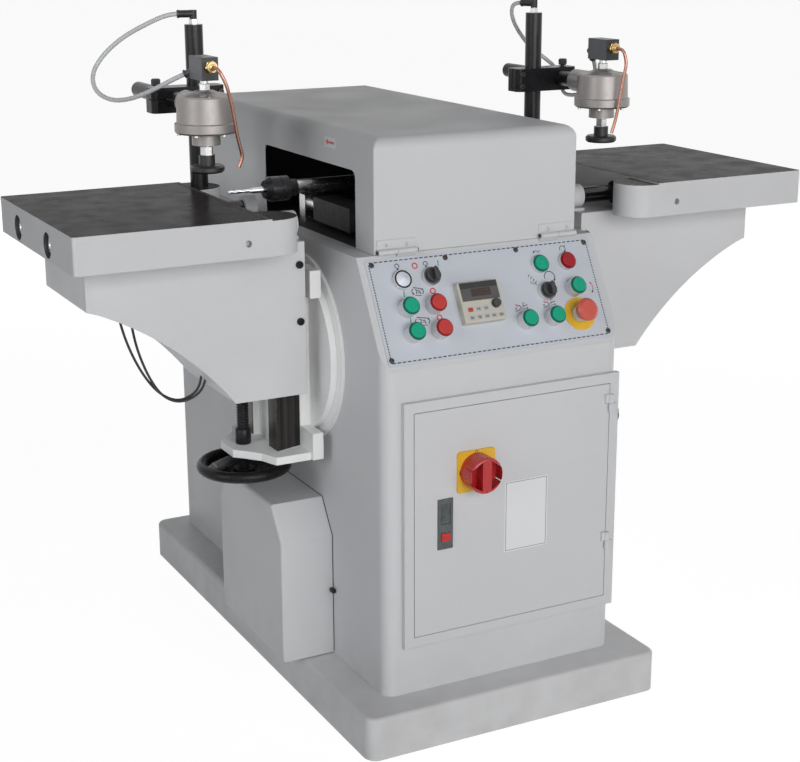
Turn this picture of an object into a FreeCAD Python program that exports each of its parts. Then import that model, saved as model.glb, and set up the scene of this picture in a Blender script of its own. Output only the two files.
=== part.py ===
import FreeCAD, Part
import math
import os
import Sketcher

# Oscillating mortiser with two swivelling tables, one on each side of the column.
# X runs to the operator's right, Y to the back and Z up; the origin is the middle of the plinth's foot.

SIZES = {
    # Plinth
    "plinth_width": 585,
    "plinth_depth": 1066,
    "plinth_height": 76,
    "plinth_corner": 22,
    "plinth_edge": 8,
    "plinth_wall": 16,
    "plinth_rib": 30,
    "plinth_deck": 14,
    # Column casing and its control slope
    "column_width": 460,
    "column_front": 470,
    "column_back": 505,
    "front_height": 576,
    "slope_rise": 174,
    "slope_run": 97,
    "column_wall": 8,
    "column_corner": 22,
    "cabinet_depth": 200,
    "passage_half_width": 130,
    "passage_low": 150,
    "passage_height": 300,
    # Door, its raised frame and its hinges
    "door_left": 180,
    "door_right": 207,
    "door_bottom": 106,
    "door_height": 399,
    "frame_band": 18,
    "frame_proud": 10,
    "door_gap": 1,
    "door_sheet": 2.5,
    "door_flange": 18,
    "door_flange_inset": 12,
    "hinge_radius": 4.5,
    "door_hinge_length": 32,
    "door_hinge_low": 92,
    "door_hinge_high": 348,
    "knuckle_gap": 0.5,
    # Main switch, latch and their places on the door
    "switch_left": 63,
    "switch_height": 390,
    "switch_plate_size": 72,
    "switch_plate_thickness": 4,
    "switch_plate_corner": 5,
    "switch_knob_radius": 31.5,
    "switch_base_thickness": 14,
    "switch_grip_width": 17,
    "switch_grip_rise": 22,
    "switch_shaft_radius": 5,
    "latch_left": 121,
    "latch_height": 303,
    "latch_width": 29,
    "latch_length": 90,
    "latch_proud": 3,
    "latch_depth": 20,
    "latch_recess": 1.5,
    "latch_recess_width": 18,
    "latch_recess_length": 36,
    "latch_button_width": 17,
    "latch_button_length": 14,
    "latch_button_drop": 23,
    "latch_button_proud": 2,
    # Control panel on the slope and what stands on it
    "panel_width": 436,
    "panel_low": 9,
    "panel_high": 192,
    "panel_thickness": 2,
    "panel_window_low": 26,
    "panel_window_high": 176,
    "panel_window_width": 400,
    "button_bore": 11,
    "collar_radius": 15.5,
    "collar_height": 21,
    "collar_cup_radius": 12.9,
    "collar_floor": 6,
    "collar_barrel": 26,
    "flush_collar_height": 9,
    "cap_radius": 12.6,
    "cap_proud": 5,
    "cap_lift": 4.6,
    "cap_stem_radius": 6,
    "cap_edge": 1.2,
    "lamp_radius": 16.5,
    "lamp_dome": 7,
    "selector_collar_height": 10,
    "selector_radius": 12.5,
    "selector_height": 9,
    "selector_grip_width": 8,
    "selector_grip_rise": 11,
    "stop_shield_radius": 29.5,
    "stop_shield_thickness": 1.5,
    "stop_base_radius": 15,
    "stop_base_height": 14,
    "stop_head_radius": 20,
    "stop_head_height": 16,
    "stop_neck_radius": 9,
    "stop_lift": 6,
    "lamp_column": 160,
    "outer_button_column": 163,
    "inner_button_column": 112.5,
    "mode_selector_column": 106,
    "right_button_column": 162,
    "middle_button_column": 107,
    "near_button_column": 52.5,
    "low_button_row": 56,
    "low_table_row": 59,
    "middle_button_row": 102.5,
    "high_button_row": 151.5,
    "display_left": 68,
    "display_width": 79,
    "display_low": 61.5,
    "display_height": 71,
    "display_thickness": 15,
    "display_corner": 2.5,
    "screen_inset": 7,
    "screen_drop": 4,
    "screen_height": 28,
    "screen_depth": 1.5,
    "speed_knob_radius": 8,
    "speed_knob_height": 8,
    "speed_stem_radius": 3,
    "speed_knob_in": 15,
    "speed_knob_up": 28.5,
    # Side cover at the foot of the left wall
    "cover_thickness": 100,
    "cover_front": 265,
    "cover_back": 26,
    "cover_lift": 2,
    "cover_shoulder": 226,
    "cover_top": 287,
    "cover_chamfer": 41,
    "cover_wall": 3,
    "cover_edge": 5,
    # Hood over the spindle
    "hood_width": 392,
    "hood_front": 373,
    "hood_back": 432,
    "hood_height": 191.5,
    "hood_wall": 3,
    "hood_round": 22,
    "hood_corner": 4,
    "hood_gap": 0.5,
    "hood_window_front": 303,
    "hood_window_back": 84,
    "hood_window_height": 130,
    "hood_window_corner": 14,
    "hood_hinge_out": 193,
    "hood_hinge_length": 72,
    "hood_leaf_height": 24,
    "hood_leaf": 1.5,
    # Oscillating carriage, its slide rods and the spindle
    "spindle_back": 157,
    "spindle_rise": 87,
    "rod_spread": 150,
    "rod_radius": 12,
    "rod_rise": 32,
    "rod_half_length": 142,
    "rod_block_width": 40,
    "rod_block_depth": 24,
    "rod_block_height": 50,
    "carriage_rise": 12,
    "carriage_plate": 14,
    "carriage_half_depth": 75,
    "lug_width": 46,
    "lug_top": 54,
    "motor_radius": 55,
    "motor_half_length": 100,
    "motor_fin_rise": 5,
    "motor_fin_width": 4,
    "motor_foot_width": 130,
    "motor_foot_depth": 90,
    "spindle_radius": 12,
    "spindle_reach": 255,
    "spindle_ring_radius": 14.5,
    "spindle_ring_length": 15,
    "chuck_length": 44,
    "chuck_radius": 21.5,
    "chuck_groove_offset": 15,
    "chuck_nose_radius": 15,
    "chuck_nose_length": 10,
    "chuck_bore_radius": 5,
    "chuck_bore_depth": 34,
    "bit_reach": 365,
    "bit_cutter_length": 42,
    "bit_cutter_radius": 3.4,
    "crank_throw": 45,
    "crank_radius": 59,
    "crank_thickness": 6,
    "crank_lift": 2,
    "crank_roller_radius": 9,
    "crank_roller_height": 18,
    "crank_shaft_radius": 14,
    "crank_behind": 127,
    "yoke_half_width": 40,
    "yoke_play": 1.1,
    "yoke_slot_left": 24,
    "yoke_slot_right": 14,
    "yoke_back": 30,
    "gearbox_width": 160,
    "gearbox_height": 110,
    "gear_motor_radius": 68,
    "gear_motor_length": 190,
    "deck_hole_radius": 30,
    # Swivel rings and the vertical ways
    "swivel_back": 158,
    "swivel_height": 631,
    "ring_radius": 168,
    "ring_thickness": 6,
    "pivot_radius": 32,
    "pivot_length": 10,
    "way_flange_radius": 150,
    "way_flange_thickness": 12,
    "way_plate_thickness": 20,
    "way_ear_half_width": 115,
    "way_waist_half_width": 62,
    "way_ear_height": 48,
    "way_plate_low": 178,
    "way_plate_high": 158,
    "dovetail_depth": 50,
    "dovetail_root": 60,
    "dovetail_face": 75,
    "dovetail_low": 166,
    "dovetail_high": 109,
    "relief_half_width": 37,
    "relief_depth": 12,
    "foot_thickness": 14,
    "foot_inner_half": 105,
    "foot_middle_half": 70,
    "foot_outer_half": 42,
    "foot_step_out": 65,
    "foot_neck_out": 78,
    "foot_reach": 115,
    # Lead screw and handwheel
    "screw_out": 352,
    "screw_radius": 11,
    "screw_journal_radius": 9,
    "screw_collar_radius": 14,
    "screw_collar_height": 28,
    "screw_top": 69,
    "wheel_radius": 85,
    "wheel_rim": 10,
    "wheel_drop": 26,
    "wheel_hub_radius": 19,
    "wheel_hub_height": 26,
    "wheel_web_thickness": 8,
    "wheel_web_drop": 5,
    # Knee that carries the table
    "knee_inner": 276.7,
    "knee_outer": 656,
    "knee_half_width": 114.5,
    "knee_top": 210,
    "knee_end_low": 130,
    "knee_curve_end_out": 408,
    "knee_curve_start_out": 638,
    "knee_curve_start_low": 124,
    "knee_curve_radius": 570,
    "knee_bottom": 55.5,
    "knee_wall": 10,
    "knee_saddle": 56,
    "knee_nut_height": 25,
    "bracket_thickness": 22,
    "bracket_height": 4.7,
    "bracket_half_width": 108,
    "bracket_boss_radius": 20.7,
    # Guide bars and table
    "bar_front": 229,
    "bar_behind": 53,
    "bar_radius": 14,
    "bar_rise": 25,
    "bar_reach": 692,
    "table_outer": 700,
    "table_ledge": 375,
    "table_front": 371,
    "table_back": 58,
    "table_thickness": 60.5,
    "table_lift": 0.6,
    "lobe_out": 362,
    "lobe_radius": 45,
    "lobe_step": 2.5,
    "table_corner": 5,
    "table_bore": 21,
    "table_bore_depth": 14,
    "table_rib_wall": 20,
    "table_hollow": 40,
    "table_hole_out": 416,
    "table_hole_radius": 5.5,
    "table_hole_depth": 12,
    # Pneumatic clamp on each table
    "post_out": 350,
    "post_behind": 20,
    "post_radius": 16,
    "post_height": 283,
    "fitting_hex": 8,
    "fitting_height": 9,
    "elbow_radius": 6.5,
    "elbow_height": 9,
    "elbow_reach": 26,
    "arm_inner": 303,
    "arm_outer": 438,
    "arm_half_depth": 22,
    "arm_height": 44,
    "arm_rise": 134,
    "arm_corner": 10,
    "arm_slit": 2.5,
    "cross_out": 398,
    "cross_radius": 14,
    "cross_back": 192,
    "cross_lift": 2,
    "cylinder_front": 150,
    "cylinder_body_radius": 48.5,
    "cylinder_body_height": 44,
    "cylinder_top_height": 8,
    "cylinder_flange_radius": 52,
    "cylinder_flange_height": 18,
    "cylinder_flange_rise": 116,
    "cylinder_neck_radius": 24,
    "cylinder_neck_height": 20,
    "cylinder_lug_radius": 21,
    "cylinder_lug_reach": 90,
    "cross_seat": 52,
    "cylinder_crown_radius": 16,
    "cylinder_crown_height": 4,
    "plunger_radius": 8,
    "plunger_nut_radius": 11,
    "plunger_nut_height": 14,
    "plunger_collar_radius": 13.5,
    "plunger_collar_height": 17,
    "plunger_gap": 3,
    "pad_radius": 29,
    "pad_thickness": 12,
    "pad_edge": 3,
    "plunger_engaged": 62,
    "valve_stem_radius": 7,
    "valve_stem_height": 18,
    "valve_width": 29,
    "valve_depth": 59,
    "valve_height": 38,
    "valve_port_height": 13,
    "brass_radius": 9,
    "brass_length": 12,
    "valve_elbow_radius": 5.5,
    "valve_elbow_length": 12,
    "valve_elbow_reach": 18,
    "pipe_radius": 3,
    "hose_radius": 4,
    "hose_lead": 18,
    "cable_radius": 2.2,
    # Clearances
    "slide_gap": 0.3,
    "running_gap": 0.05,
    "cut_over": 10,
}

# Shares of a size, counts and angles: these stay as they are when the sizes scale
HINGE_LEAF_SHARE = 0.6
HOOD_FOOT_BACK_SHARE = 0.8
HOOD_FOOT_SIDE_SHARE = 0.9
WINDOW_ARC_SHARE = 1.0001
SWITCH_HOLLOW_TALL_SHARE = 0.8
SWITCH_HOLLOW_MOUTH_SHARE = 0.42
LATCH_WELL_SHARE = 0.75
STOP_EDGE_SHARE = 0.3
SELECTOR_TIP_SHARE = 0.95
SELECTOR_TAIL_SHARE = 0.85
SELECTOR_SHOULDER_SHARE = 0.6
STEM_BORE_SHARE = 0.7
STEM_FOOT_SHARE = 0.6
FIN_ROOT_SHARE = 0.9
FIN_LENGTH_SHARE = 1.4
FINS_EACH_WAY = 4
FIN_STEP_DEGREES = 15
FLUTE_OUT_SHARE = 1.1
FLUTE_ASIDE_SHARE = 0.5
FLUTE_RADIUS_SHARE = 0.62
GEARBOX_BORE_SHARE = 0.6
HEXAGON_CORNERS = 6
CYLINDER_TAPER_SHARES = (0.97, 0.93)
CROWN_FOOT_SHARE = 1.5
PIPE_HEIGHT_SHARE = 0.6
BEND_SETBACK_SHARE = 0.45

document = FreeCAD.newDocument("oscillating_mortiser")
sheet = document.addObject("Spreadsheet::Sheet", "Sizes")
for row, (alias, value) in enumerate(SIZES.items(), start=1):
    sheet.set(f"A{row}", alias)
    sheet.set(f"B{row}", str(value))
    sheet.setAlias(f"B{row}", alias)
document.recompute()

X_AXIS = FreeCAD.Vector(1, 0, 0)
Y_AXIS = FreeCAD.Vector(0, 1, 0)
Z_AXIS = FreeCAD.Vector(0, 0, 1)
PIECES = []


class Dim:
    """A length kept both as a number and as an expression over the sheet."""

    def __init__(self, text, value):
        self.text = text
        self.value = float(value)

    def join(self, other, mark, result):
        text = other.text if isinstance(other, Dim) else repr(other)
        return Dim(f"({self.text} {mark} {text})", result)

    def __add__(self, other):
        return self.join(other, "+", self.value + other.value)

    def __sub__(self, other):
        return self.join(other, "-", self.value - other.value)

    def __neg__(self):
        return Dim(f"(-1 * {self.text})", -self.value)

    def __mul__(self, factor):
        number = factor.value if isinstance(factor, Dim) else factor
        return self.join(factor, "*", self.value * number)

    def __truediv__(self, factor):
        number = factor.value if isinstance(factor, Dim) else factor
        return self.join(factor, "/", self.value / number)


class Sizes:
    """Reads the named sizes from the sheet as dimensions."""

    def __getattr__(self, alias):
        return Dim(f"Sizes.{alias}", sheet.get(alias))


size = Sizes()
ZERO = Dim("0", 0)


def hypotenuse(rise, run):
    text = f"sqrt({rise.text} ^ 2 + {run.text} ^ 2)"
    return Dim(text, math.hypot(rise.value, run.value))


# Heights and places that several pieces share.
plinth_top = size.plinth_height
slope_foot = plinth_top + size.front_height
deck = slope_foot + size.slope_rise
slope_length = hypotenuse(size.slope_rise, size.slope_run)
wall_out = size.column_width / 2
spindle_height = deck + size.spindle_rise
spindle_y = -size.spindle_back
swivel_y = -size.swivel_back
ring_face = wall_out + size.ring_thickness
way_foot = ring_face + size.slide_gap
way_plate_face = way_foot + size.way_flange_thickness + size.way_plate_thickness
dovetail_face_out = way_plate_face + size.dovetail_depth
dovetail_foot = size.swivel_height - size.dovetail_low
knee_top = size.swivel_height + size.knee_top
knee_bottom = size.swivel_height - size.knee_bottom
bar_height = knee_top + size.bar_rise
table_foot = knee_top + size.table_lift
table_top = table_foot + size.table_thickness
lobe_top = table_top - size.lobe_step
front_lobe_y = -size.table_front + size.lobe_radius
back_lobe_y = size.table_back - size.lobe_radius
post_top = lobe_top + size.post_height
arm_middle = lobe_top + size.arm_rise + size.arm_height / 2
cross_height = arm_middle + size.cross_lift
cylinder_y = -size.cylinder_front
flange_foot = lobe_top + size.cylinder_flange_rise
flange_top = flange_foot + size.cylinder_flange_height
cylinder_crown = flange_top + size.cylinder_body_height + size.cylinder_top_height
valve_foot = cylinder_crown + size.valve_stem_height
crank_y = spindle_y + size.crank_behind
# Points chosen by eye are in the unit in which the plinth's height was stated.
unit = size.plinth_height.value / SIZES["plinth_height"]

slope_angle = math.degrees(math.atan2(size.slope_rise.value, size.slope_run.value))
slope_base = FreeCAD.Vector(0, -size.column_front.value, slope_foot.value)
SLOPE = FreeCAD.Placement(slope_base, FreeCAD.Rotation(X_AXIS, slope_angle))


def register(piece, label):
    piece.Label = label
    PIECES.append(piece)
    return piece


def bind(thing, **dimensions):
    """Binds properties of an object to the sheet."""
    for name, dimension in dimensions.items():
        thing.setExpression(name, dimension.text)
    return thing


def locate(thing, x=ZERO, y=ZERO, z=ZERO):
    thing.setExpression("Placement.Base.x", x.text)
    thing.setExpression("Placement.Base.y", y.text)
    thing.setExpression("Placement.Base.z", z.text)
    return thing


# PartDesign helpers


def new_body(label):
    body = document.addObject("PartDesign::Body", label)
    return register(body, label)


def origin_plane(body, role):
    return next(plane for plane in body.Origin.OriginFeatures if plane.Role == role)


def new_sketch(body, role, name, offset=ZERO):
    """A sketch on one of the body's own origin planes, shifted along the plane's normal."""
    sketch = body.newObject("Sketcher::SketchObject", f"{body.Name}_{name}")
    sketch.AttachmentSupport = [(origin_plane(body, role), "")]
    sketch.MapMode = "FlatFace"
    sketch.setExpression("AttachmentOffset.Base.z", offset.text)
    return sketch


def pin_point(sketch, geometry, position, u, v):
    """Holds one point of the sketch by its two distances from the origin."""
    for kind, dimension, axis in (("DistanceX", u, -2), ("DistanceY", v, -1)):
        if dimension.text == ZERO.text:
            sketch.addConstraint(Sketcher.Constraint("PointOnObject", geometry, position, axis))
            continue
        index = sketch.addConstraint(Sketcher.Constraint(kind, -1, 1, geometry, position, dimension.value))
        name = f"{kind}_{geometry}"
        sketch.renameConstraint(index, name)
        sketch.setExpression(f"Constraints.{name}", dimension.text)


def outline(sketch, corners, arcs=None):
    """A closed outline through the corners; arcs gives a radius for the edge that leaves a corner."""
    arcs = arcs or {}
    first = sketch.GeometryCount
    count = len(corners)
    points = [FreeCAD.Vector(u.value, v.value, 0) for u, v in corners]
    for index in range(count):
        start = points[index]
        end = points[(index + 1) % count]
        if index in arcs:
            sketch.addGeometry(arc_between(start, end, arcs[index].value), False)
        else:
            sketch.addGeometry(Part.LineSegment(start, end), False)
    # An arc runs counter-clockwise, so its start lies at the outline's next corner when it bulges inward.
    ends = [arc_ends(sketch, first + index, points[index]) for index in range(count)]
    for index in range(count):
        following = (index + 1) % count
        here = first + index
        there = first + following
        joined = Sketcher.Constraint("Coincident", here, ends[index][1], there, ends[following][0])
        sketch.addConstraint(joined)
    for index, (u, v) in enumerate(corners):
        pin_point(sketch, first + index, ends[index][0], u, v)
    for index, radius in arcs.items():
        number = sketch.addConstraint(Sketcher.Constraint("Radius", first + index, abs(radius.value)))
        sketch.renameConstraint(number, f"Radius_{first + index}")
        sketch.setExpression(f"Constraints.Radius_{first + index}", f"abs({radius.text})")


def arc_between(start, end, radius):
    """An arc of the given radius; a negative radius puts its centre on the other side."""
    chord = end - start
    middle = (start + end) * 0.5
    across = FreeCAD.Vector(-chord.y, chord.x, 0).normalize()
    rise = math.sqrt(radius ** 2 - (chord.Length / 2) ** 2)
    centre = middle + across * math.copysign(rise, radius)
    crown = centre + (middle - centre).normalize() * abs(radius)
    # The sketcher keeps its arcs counter-clockwise, so the ends swap when the centre lies on the right.
    return Part.Arc(start, crown, end) if radius > 0 else Part.Arc(end, crown, start)


def arc_ends(sketch, index, start):
    """The position numbers of an edge's first and second point along the outline."""
    edge = sketch.Geometry[index]
    return (1, 2) if (edge.StartPoint - start).Length < (edge.EndPoint - start).Length else (2, 1)


def rectangle(sketch, left, right, low, high):
    outline(sketch, [(left, low), (right, low), (right, high), (left, high)])


def circle(sketch, u, v, radius):
    index = sketch.addGeometry(Part.Circle(FreeCAD.Vector(u.value, v.value, 0), Z_AXIS, radius.value), False)
    pin_point(sketch, index, 3, u, v)
    number = sketch.addConstraint(Sketcher.Constraint("Radius", index, radius.value))
    sketch.renameConstraint(number, f"Radius_{index}")
    sketch.setExpression(f"Constraints.Radius_{index}", radius.text)


def extrude(body, kind, sketch, length, side="One side", reverse=False):
    feature = body.newObject(f"PartDesign::{kind}", f"{sketch.Name}_{kind}")
    feature.Profile = sketch
    feature.SideType = side
    feature.Reversed = reverse
    feature.setExpression("Length", length.text)
    return feature


def pad(body, sketch, length, **options):
    return extrude(body, "Pad", sketch, length, **options)


def pocket(body, sketch, length, **options):
    return extrude(body, "Pocket", sketch, length, **options)


def revolve(body, sketch, kind="Revolution"):
    """Turns a profile drawn beside the sketch's vertical axis about that axis."""
    feature = body.newObject(f"PartDesign::{kind}", f"{sketch.Name}_{kind}")
    feature.Profile = sketch
    feature.ReferenceAxis = (sketch, ["V_Axis"])
    feature.Angle = 360
    return feature


def dress(body, kind, feature, dimension, chosen):
    """Fillets or chamfers the edges of the feature that the test picks."""
    document.recompute()
    names = [f"Edge{n}" for n, edge in enumerate(feature.Shape.Edges, start=1) if chosen(edge)]
    if not names:
        raise ValueError(f"{body.Label}: no edge picked for {kind}")
    result = body.newObject(f"PartDesign::{kind}", f"{feature.Name}_{kind}")
    result.Base = (feature, names)
    result.setExpression("Radius" if kind == "Fillet" else "Size", dimension.text)
    return result


NEAR = 1e-4


def runs_along(edge, axis):
    """True for a straight edge parallel to the axis."""
    if not isinstance(edge.Curve, Part.Line):
        return False
    return abs(abs(edge.Curve.Direction.dot(axis)) - 1) < NEAR


def middle_of(edge):
    return edge.valueAt((edge.FirstParameter + edge.LastParameter) / 2)


def close(number, dimension):
    return abs(number - dimension.value) < NEAR


# Part workbench helpers


def box(name, x, y, z, length, width, height):
    block = document.addObject("Part::Box", name)
    bind(block, Length=length, Width=width, Height=height)
    return locate(block, x, y, z)


AXIS_TURN = {
    "X": FreeCAD.Rotation(Y_AXIS, 90),
    "Y": FreeCAD.Rotation(X_AXIS, -90),
    "Z": FreeCAD.Rotation(),
}


def rod(name, x, y, z, radius, length, axis="Z"):
    """A round bar that starts at the point and runs along the positive axis."""
    bar = document.addObject("Part::Cylinder", name)
    bar.Placement.Rotation = AXIS_TURN[axis]
    bind(bar, Radius=radius, Height=length)
    return locate(bar, x, y, z)


def fuse(name, *shapes):
    result = document.addObject("Part::MultiFuse", name)
    result.Shapes = list(shapes)
    result.Refine = True
    return result


def cut(name, base, *tools):
    result = document.addObject("Part::Cut", name)
    result.Base = base
    result.Tool = tools[0] if len(tools) == 1 else fuse(f"{name}_tools", *tools)
    result.Refine = True
    return result


def group(label, solids):
    """Several separate solids that share one node."""
    compound = document.addObject("Part::Compound", label)
    compound.Links = list(solids)
    return register(compound, label)


def mirrored(label, source):
    """The same piece on the machine's left side."""
    mirror = document.addObject("Part::Mirroring", label)
    mirror.Source = source
    mirror.Base = FreeCAD.Vector(0, 0, 0)
    mirror.Normal = X_AXIS
    return register(mirror, label)


def pair(builder, name):
    """Builds a piece on the right side and mirrors it to the left."""
    right = builder(f"right_{name}")
    mirrored(f"left_{name}", right)
    return right


# Plinth and column


def base_plinth():
    body = new_body("base_plinth")
    half_width = size.plinth_width / 2
    half_depth = size.plinth_depth / 2
    foot = new_sketch(body, "XY_Plane", "foot")
    rectangle(foot, -half_width, half_width, -half_depth, half_depth)
    block = pad(body, foot, size.plinth_height)
    corners = dress(body, "Fillet", block, size.plinth_corner, lambda edge: runs_along(edge, Z_AXIS))
    dress(body, "Fillet", corners, size.plinth_edge, lambda edge: close(middle_of(edge).z, plinth_top))
    cells = new_sketch(body, "XY_Plane", "cells")
    rib = size.plinth_rib / 2
    for left, right in ((-half_width + size.plinth_wall, -rib), (rib, half_width - size.plinth_wall)):
        for low, high in ((-half_depth + size.plinth_wall, -rib), (rib, half_depth - size.plinth_wall)):
            rectangle(cells, left, right, low, high)
    pocket(body, cells, size.plinth_height - size.plinth_deck, reverse=True)


def slope_point(distance, depth):
    """A point in the YZ plane, so far up the slope from its foot and so far into the casing."""
    y = -size.column_front + (size.slope_run * distance + size.slope_rise * depth) / slope_length
    z = slope_foot + (size.slope_rise * distance - size.slope_run * depth) / slope_length
    return y, z


def column_casing():
    body = new_body("column_casing")
    front = -size.column_front
    wall = size.column_wall
    plan = new_sketch(body, "XY_Plane", "plan", plinth_top)
    rectangle(plan, -wall_out, wall_out, front, size.column_back)
    block = pad(body, plan, size.front_height + size.slope_rise)
    dress(body, "Fillet", block, size.column_corner, lambda edge: runs_along(edge, Z_AXIS))
    # The front's upper part leans back for the controls.
    over = size.cut_over
    slope = new_sketch(body, "YZ_Plane", "slope")
    slope_head = front + size.slope_run
    outline(slope, [(front, slope_foot), (slope_head, deck), (slope_head, deck + over),
                    (front - over, deck + over), (front - over, slope_foot)])
    pocket(body, slope, size.column_width + over * 2, side="Symmetric")
    # Electrical cabinet in front and drive space behind, with a partition between.
    rooms = new_sketch(body, "YZ_Plane", "rooms")
    cabinet_back = front + size.cabinet_depth
    room_floor = plinth_top + wall
    room_roof = deck - wall
    knee_drop = wall * (slope_length - size.slope_rise) / size.slope_run
    roof_shift = wall * size.slope_rise / (slope_length + size.slope_run)
    outline(rooms, [(front + wall, room_floor), (front + wall, slope_foot - knee_drop),
                    (slope_head + roof_shift, room_roof), (cabinet_back, room_roof),
                    (cabinet_back, room_floor)])
    rectangle(rooms, cabinet_back + wall, size.column_back - wall, room_floor, room_roof)
    pocket(body, rooms, size.column_width - wall * 2, side="Symmetric")
    # Passage through the partition, from the switchgear to the drive.
    passage = new_sketch(body, "XZ_Plane", "passage", over - cabinet_back)
    passage_foot = plinth_top + size.passage_low
    rectangle(passage, -size.passage_half_width, size.passage_half_width,
              passage_foot, passage_foot + size.passage_height)
    pocket(body, passage, wall + over * 2)
    # Raised door frame and the doorway through the front wall.
    door_low = plinth_top + size.door_bottom
    door_high = door_low + size.door_height
    frame = new_sketch(body, "XZ_Plane", "frame", size.column_front)
    band = size.frame_band
    rectangle(frame, -size.door_left - band, size.door_right + band, door_low - band, door_high + band)
    rectangle(frame, -size.door_left, size.door_right, door_low, door_high)
    pad(body, frame, size.frame_proud)
    doorway = new_sketch(body, "XZ_Plane", "doorway", size.column_front)
    rectangle(doorway, -size.door_left, size.door_right, door_low, door_high)
    pocket(body, doorway, wall + over)
    # Window in the slope for the switches' barrels.
    window = new_sketch(body, "YZ_Plane", "window")
    low, high = size.panel_window_low, size.panel_window_high
    outline(window, [slope_point(low, -over), slope_point(high, -over),
                     slope_point(high, wall * 2), slope_point(low, wall * 2)])
    pocket(body, window, size.panel_window_width, side="Symmetric")
    # Hole in the deck for the crank shaft's boss.
    deck_hole = new_sketch(body, "XY_Plane", "deck_hole", deck)
    circle(deck_hole, -size.crank_throw, crank_y, size.deck_hole_radius)
    pocket(body, deck_hole, wall + over)
    door_knuckles(body)
    hood_knuckles(body)


def door_axis():
    """Where the door's hinge axis stands, as X and Y."""
    x = size.door_right
    y = -size.column_front - size.frame_proud - size.hinge_radius
    return x, y


def door_hinge_heights():
    return [plinth_top + size.door_bottom + low for low in (size.door_hinge_low, size.door_hinge_high)]


def door_knuckles(body):
    """Lower, fixed knuckle of each door hinge, on the frame's right band."""
    x, y = door_axis()
    half = (size.door_hinge_length - size.knuckle_gap) / 2
    for number, height in enumerate(door_hinge_heights()):
        round_part = new_sketch(body, "XY_Plane", f"door_knuckle_{number}", height)
        circle(round_part, x, y, size.hinge_radius)
        pad(body, round_part, half)
        leaf = new_sketch(body, "XY_Plane", f"door_leaf_{number}", height)
        leaf_end = x + size.frame_band * HINGE_LEAF_SHARE
        rectangle(leaf, x, leaf_end, y, y + size.hinge_radius)
        pad(body, leaf, half)


def hood_axis():
    """Where the hood's hinge axis stands, as Y and Z."""
    y = -size.hood_front - size.hood_leaf - size.knuckle_gap - size.hinge_radius
    z = deck + size.knuckle_gap + size.hinge_radius
    return y, z


def hood_hinge_starts():
    """Left ends of the two hood hinges along X."""
    return [-size.hood_hinge_out, size.hood_hinge_out - size.hood_hinge_length]


def hood_knuckles(body):
    """Fixed half of each hood hinge, on a foot at the slope's head."""
    y, z = hood_axis()
    radius = size.hinge_radius
    half = (size.hood_hinge_length - size.knuckle_gap) / 2
    foot_back = slope_point(slope_length - size.hinge_radius * HOOD_FOOT_BACK_SHARE, ZERO)
    foot_front = slope_point(size.panel_high + size.knuckle_gap, ZERO)
    for number, start in enumerate(hood_hinge_starts()):
        fixed_start = start + (half + size.knuckle_gap) * (1 - number)
        barrel = new_sketch(body, "YZ_Plane", f"hood_knuckle_{number}", fixed_start)
        circle(barrel, y, z, radius)
        pad(body, barrel, half)
        foot = new_sketch(body, "YZ_Plane", f"hood_foot_{number}", fixed_start)
        aside = radius * HOOD_FOOT_SIDE_SHARE
        outline(foot, [foot_back, (y + aside, z), (y - aside, z), foot_front])
        pad(body, foot, half)


# Door with its switch and latch


def door_face():
    """Y of the door's outer face, flush with its frame."""
    return -size.column_front - size.frame_proud


def switch_centre():
    return -size.switch_left, plinth_top + size.switch_height


def latch_centre():
    return -size.latch_left, plinth_top + size.latch_height


def cabinet_door():
    body = new_body("cabinet_door")
    gap = size.door_gap
    left = -size.door_left + gap
    right = size.door_right - gap
    low = plinth_top + size.door_bottom + gap
    high = plinth_top + size.door_bottom + size.door_height - gap
    sheet_sketch = new_sketch(body, "XZ_Plane", "sheet", -door_face())
    rectangle(sheet_sketch, left, right, low, high)
    pad(body, sheet_sketch, size.door_sheet, reverse=True)
    inset = size.door_flange_inset
    rim = new_sketch(body, "XZ_Plane", "rim", -door_face() - size.door_sheet)
    rectangle(rim, left + inset, right - inset, low + inset, high - inset)
    inner = inset + size.door_sheet
    rectangle(rim, left + inner, right - inner, low + inner, high - inner)
    pad(body, rim, size.door_flange, reverse=True)
    holes = new_sketch(body, "XZ_Plane", "holes", -door_face())
    circle(holes, *switch_centre(), size.switch_shaft_radius + size.slide_gap)
    x, z = latch_centre()
    half_width = size.latch_width / 2 - size.latch_proud
    half_length = size.latch_length / 2 - size.latch_proud
    rectangle(holes, x - half_width, x + half_width, z - half_length, z + half_length)
    pocket(body, holes, size.door_sheet + size.cut_over)
    x, y = door_axis()
    half = (size.door_hinge_length - size.knuckle_gap) / 2
    for number, height in enumerate(door_hinge_heights()):
        start = height + half + size.knuckle_gap
        barrel = new_sketch(body, "XY_Plane", f"knuckle_{number}", start)
        circle(barrel, x, y, size.hinge_radius)
        pad(body, barrel, half)
        leaf = new_sketch(body, "XY_Plane", f"leaf_{number}", start)
        rectangle(leaf, x - size.frame_band * HINGE_LEAF_SHARE, x, y, y + size.hinge_radius)
        pad(body, leaf, half)


def switch_plate():
    body = new_body("switch_plate")
    x, z = switch_centre()
    half = size.switch_plate_size / 2
    plate = new_sketch(body, "XZ_Plane", "plate", -door_face())
    rectangle(plate, x - half, x + half, z - half, z + half)
    block = pad(body, plate, size.switch_plate_thickness)
    dress(body, "Fillet", block, size.switch_plate_corner, lambda edge: runs_along(edge, Y_AXIS))
    hole = new_sketch(body, "XZ_Plane", "hole", -door_face())
    circle(hole, x, z, size.switch_shaft_radius + size.slide_gap)
    pocket(body, hole, size.switch_plate_thickness + size.cut_over, reverse=True)


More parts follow.
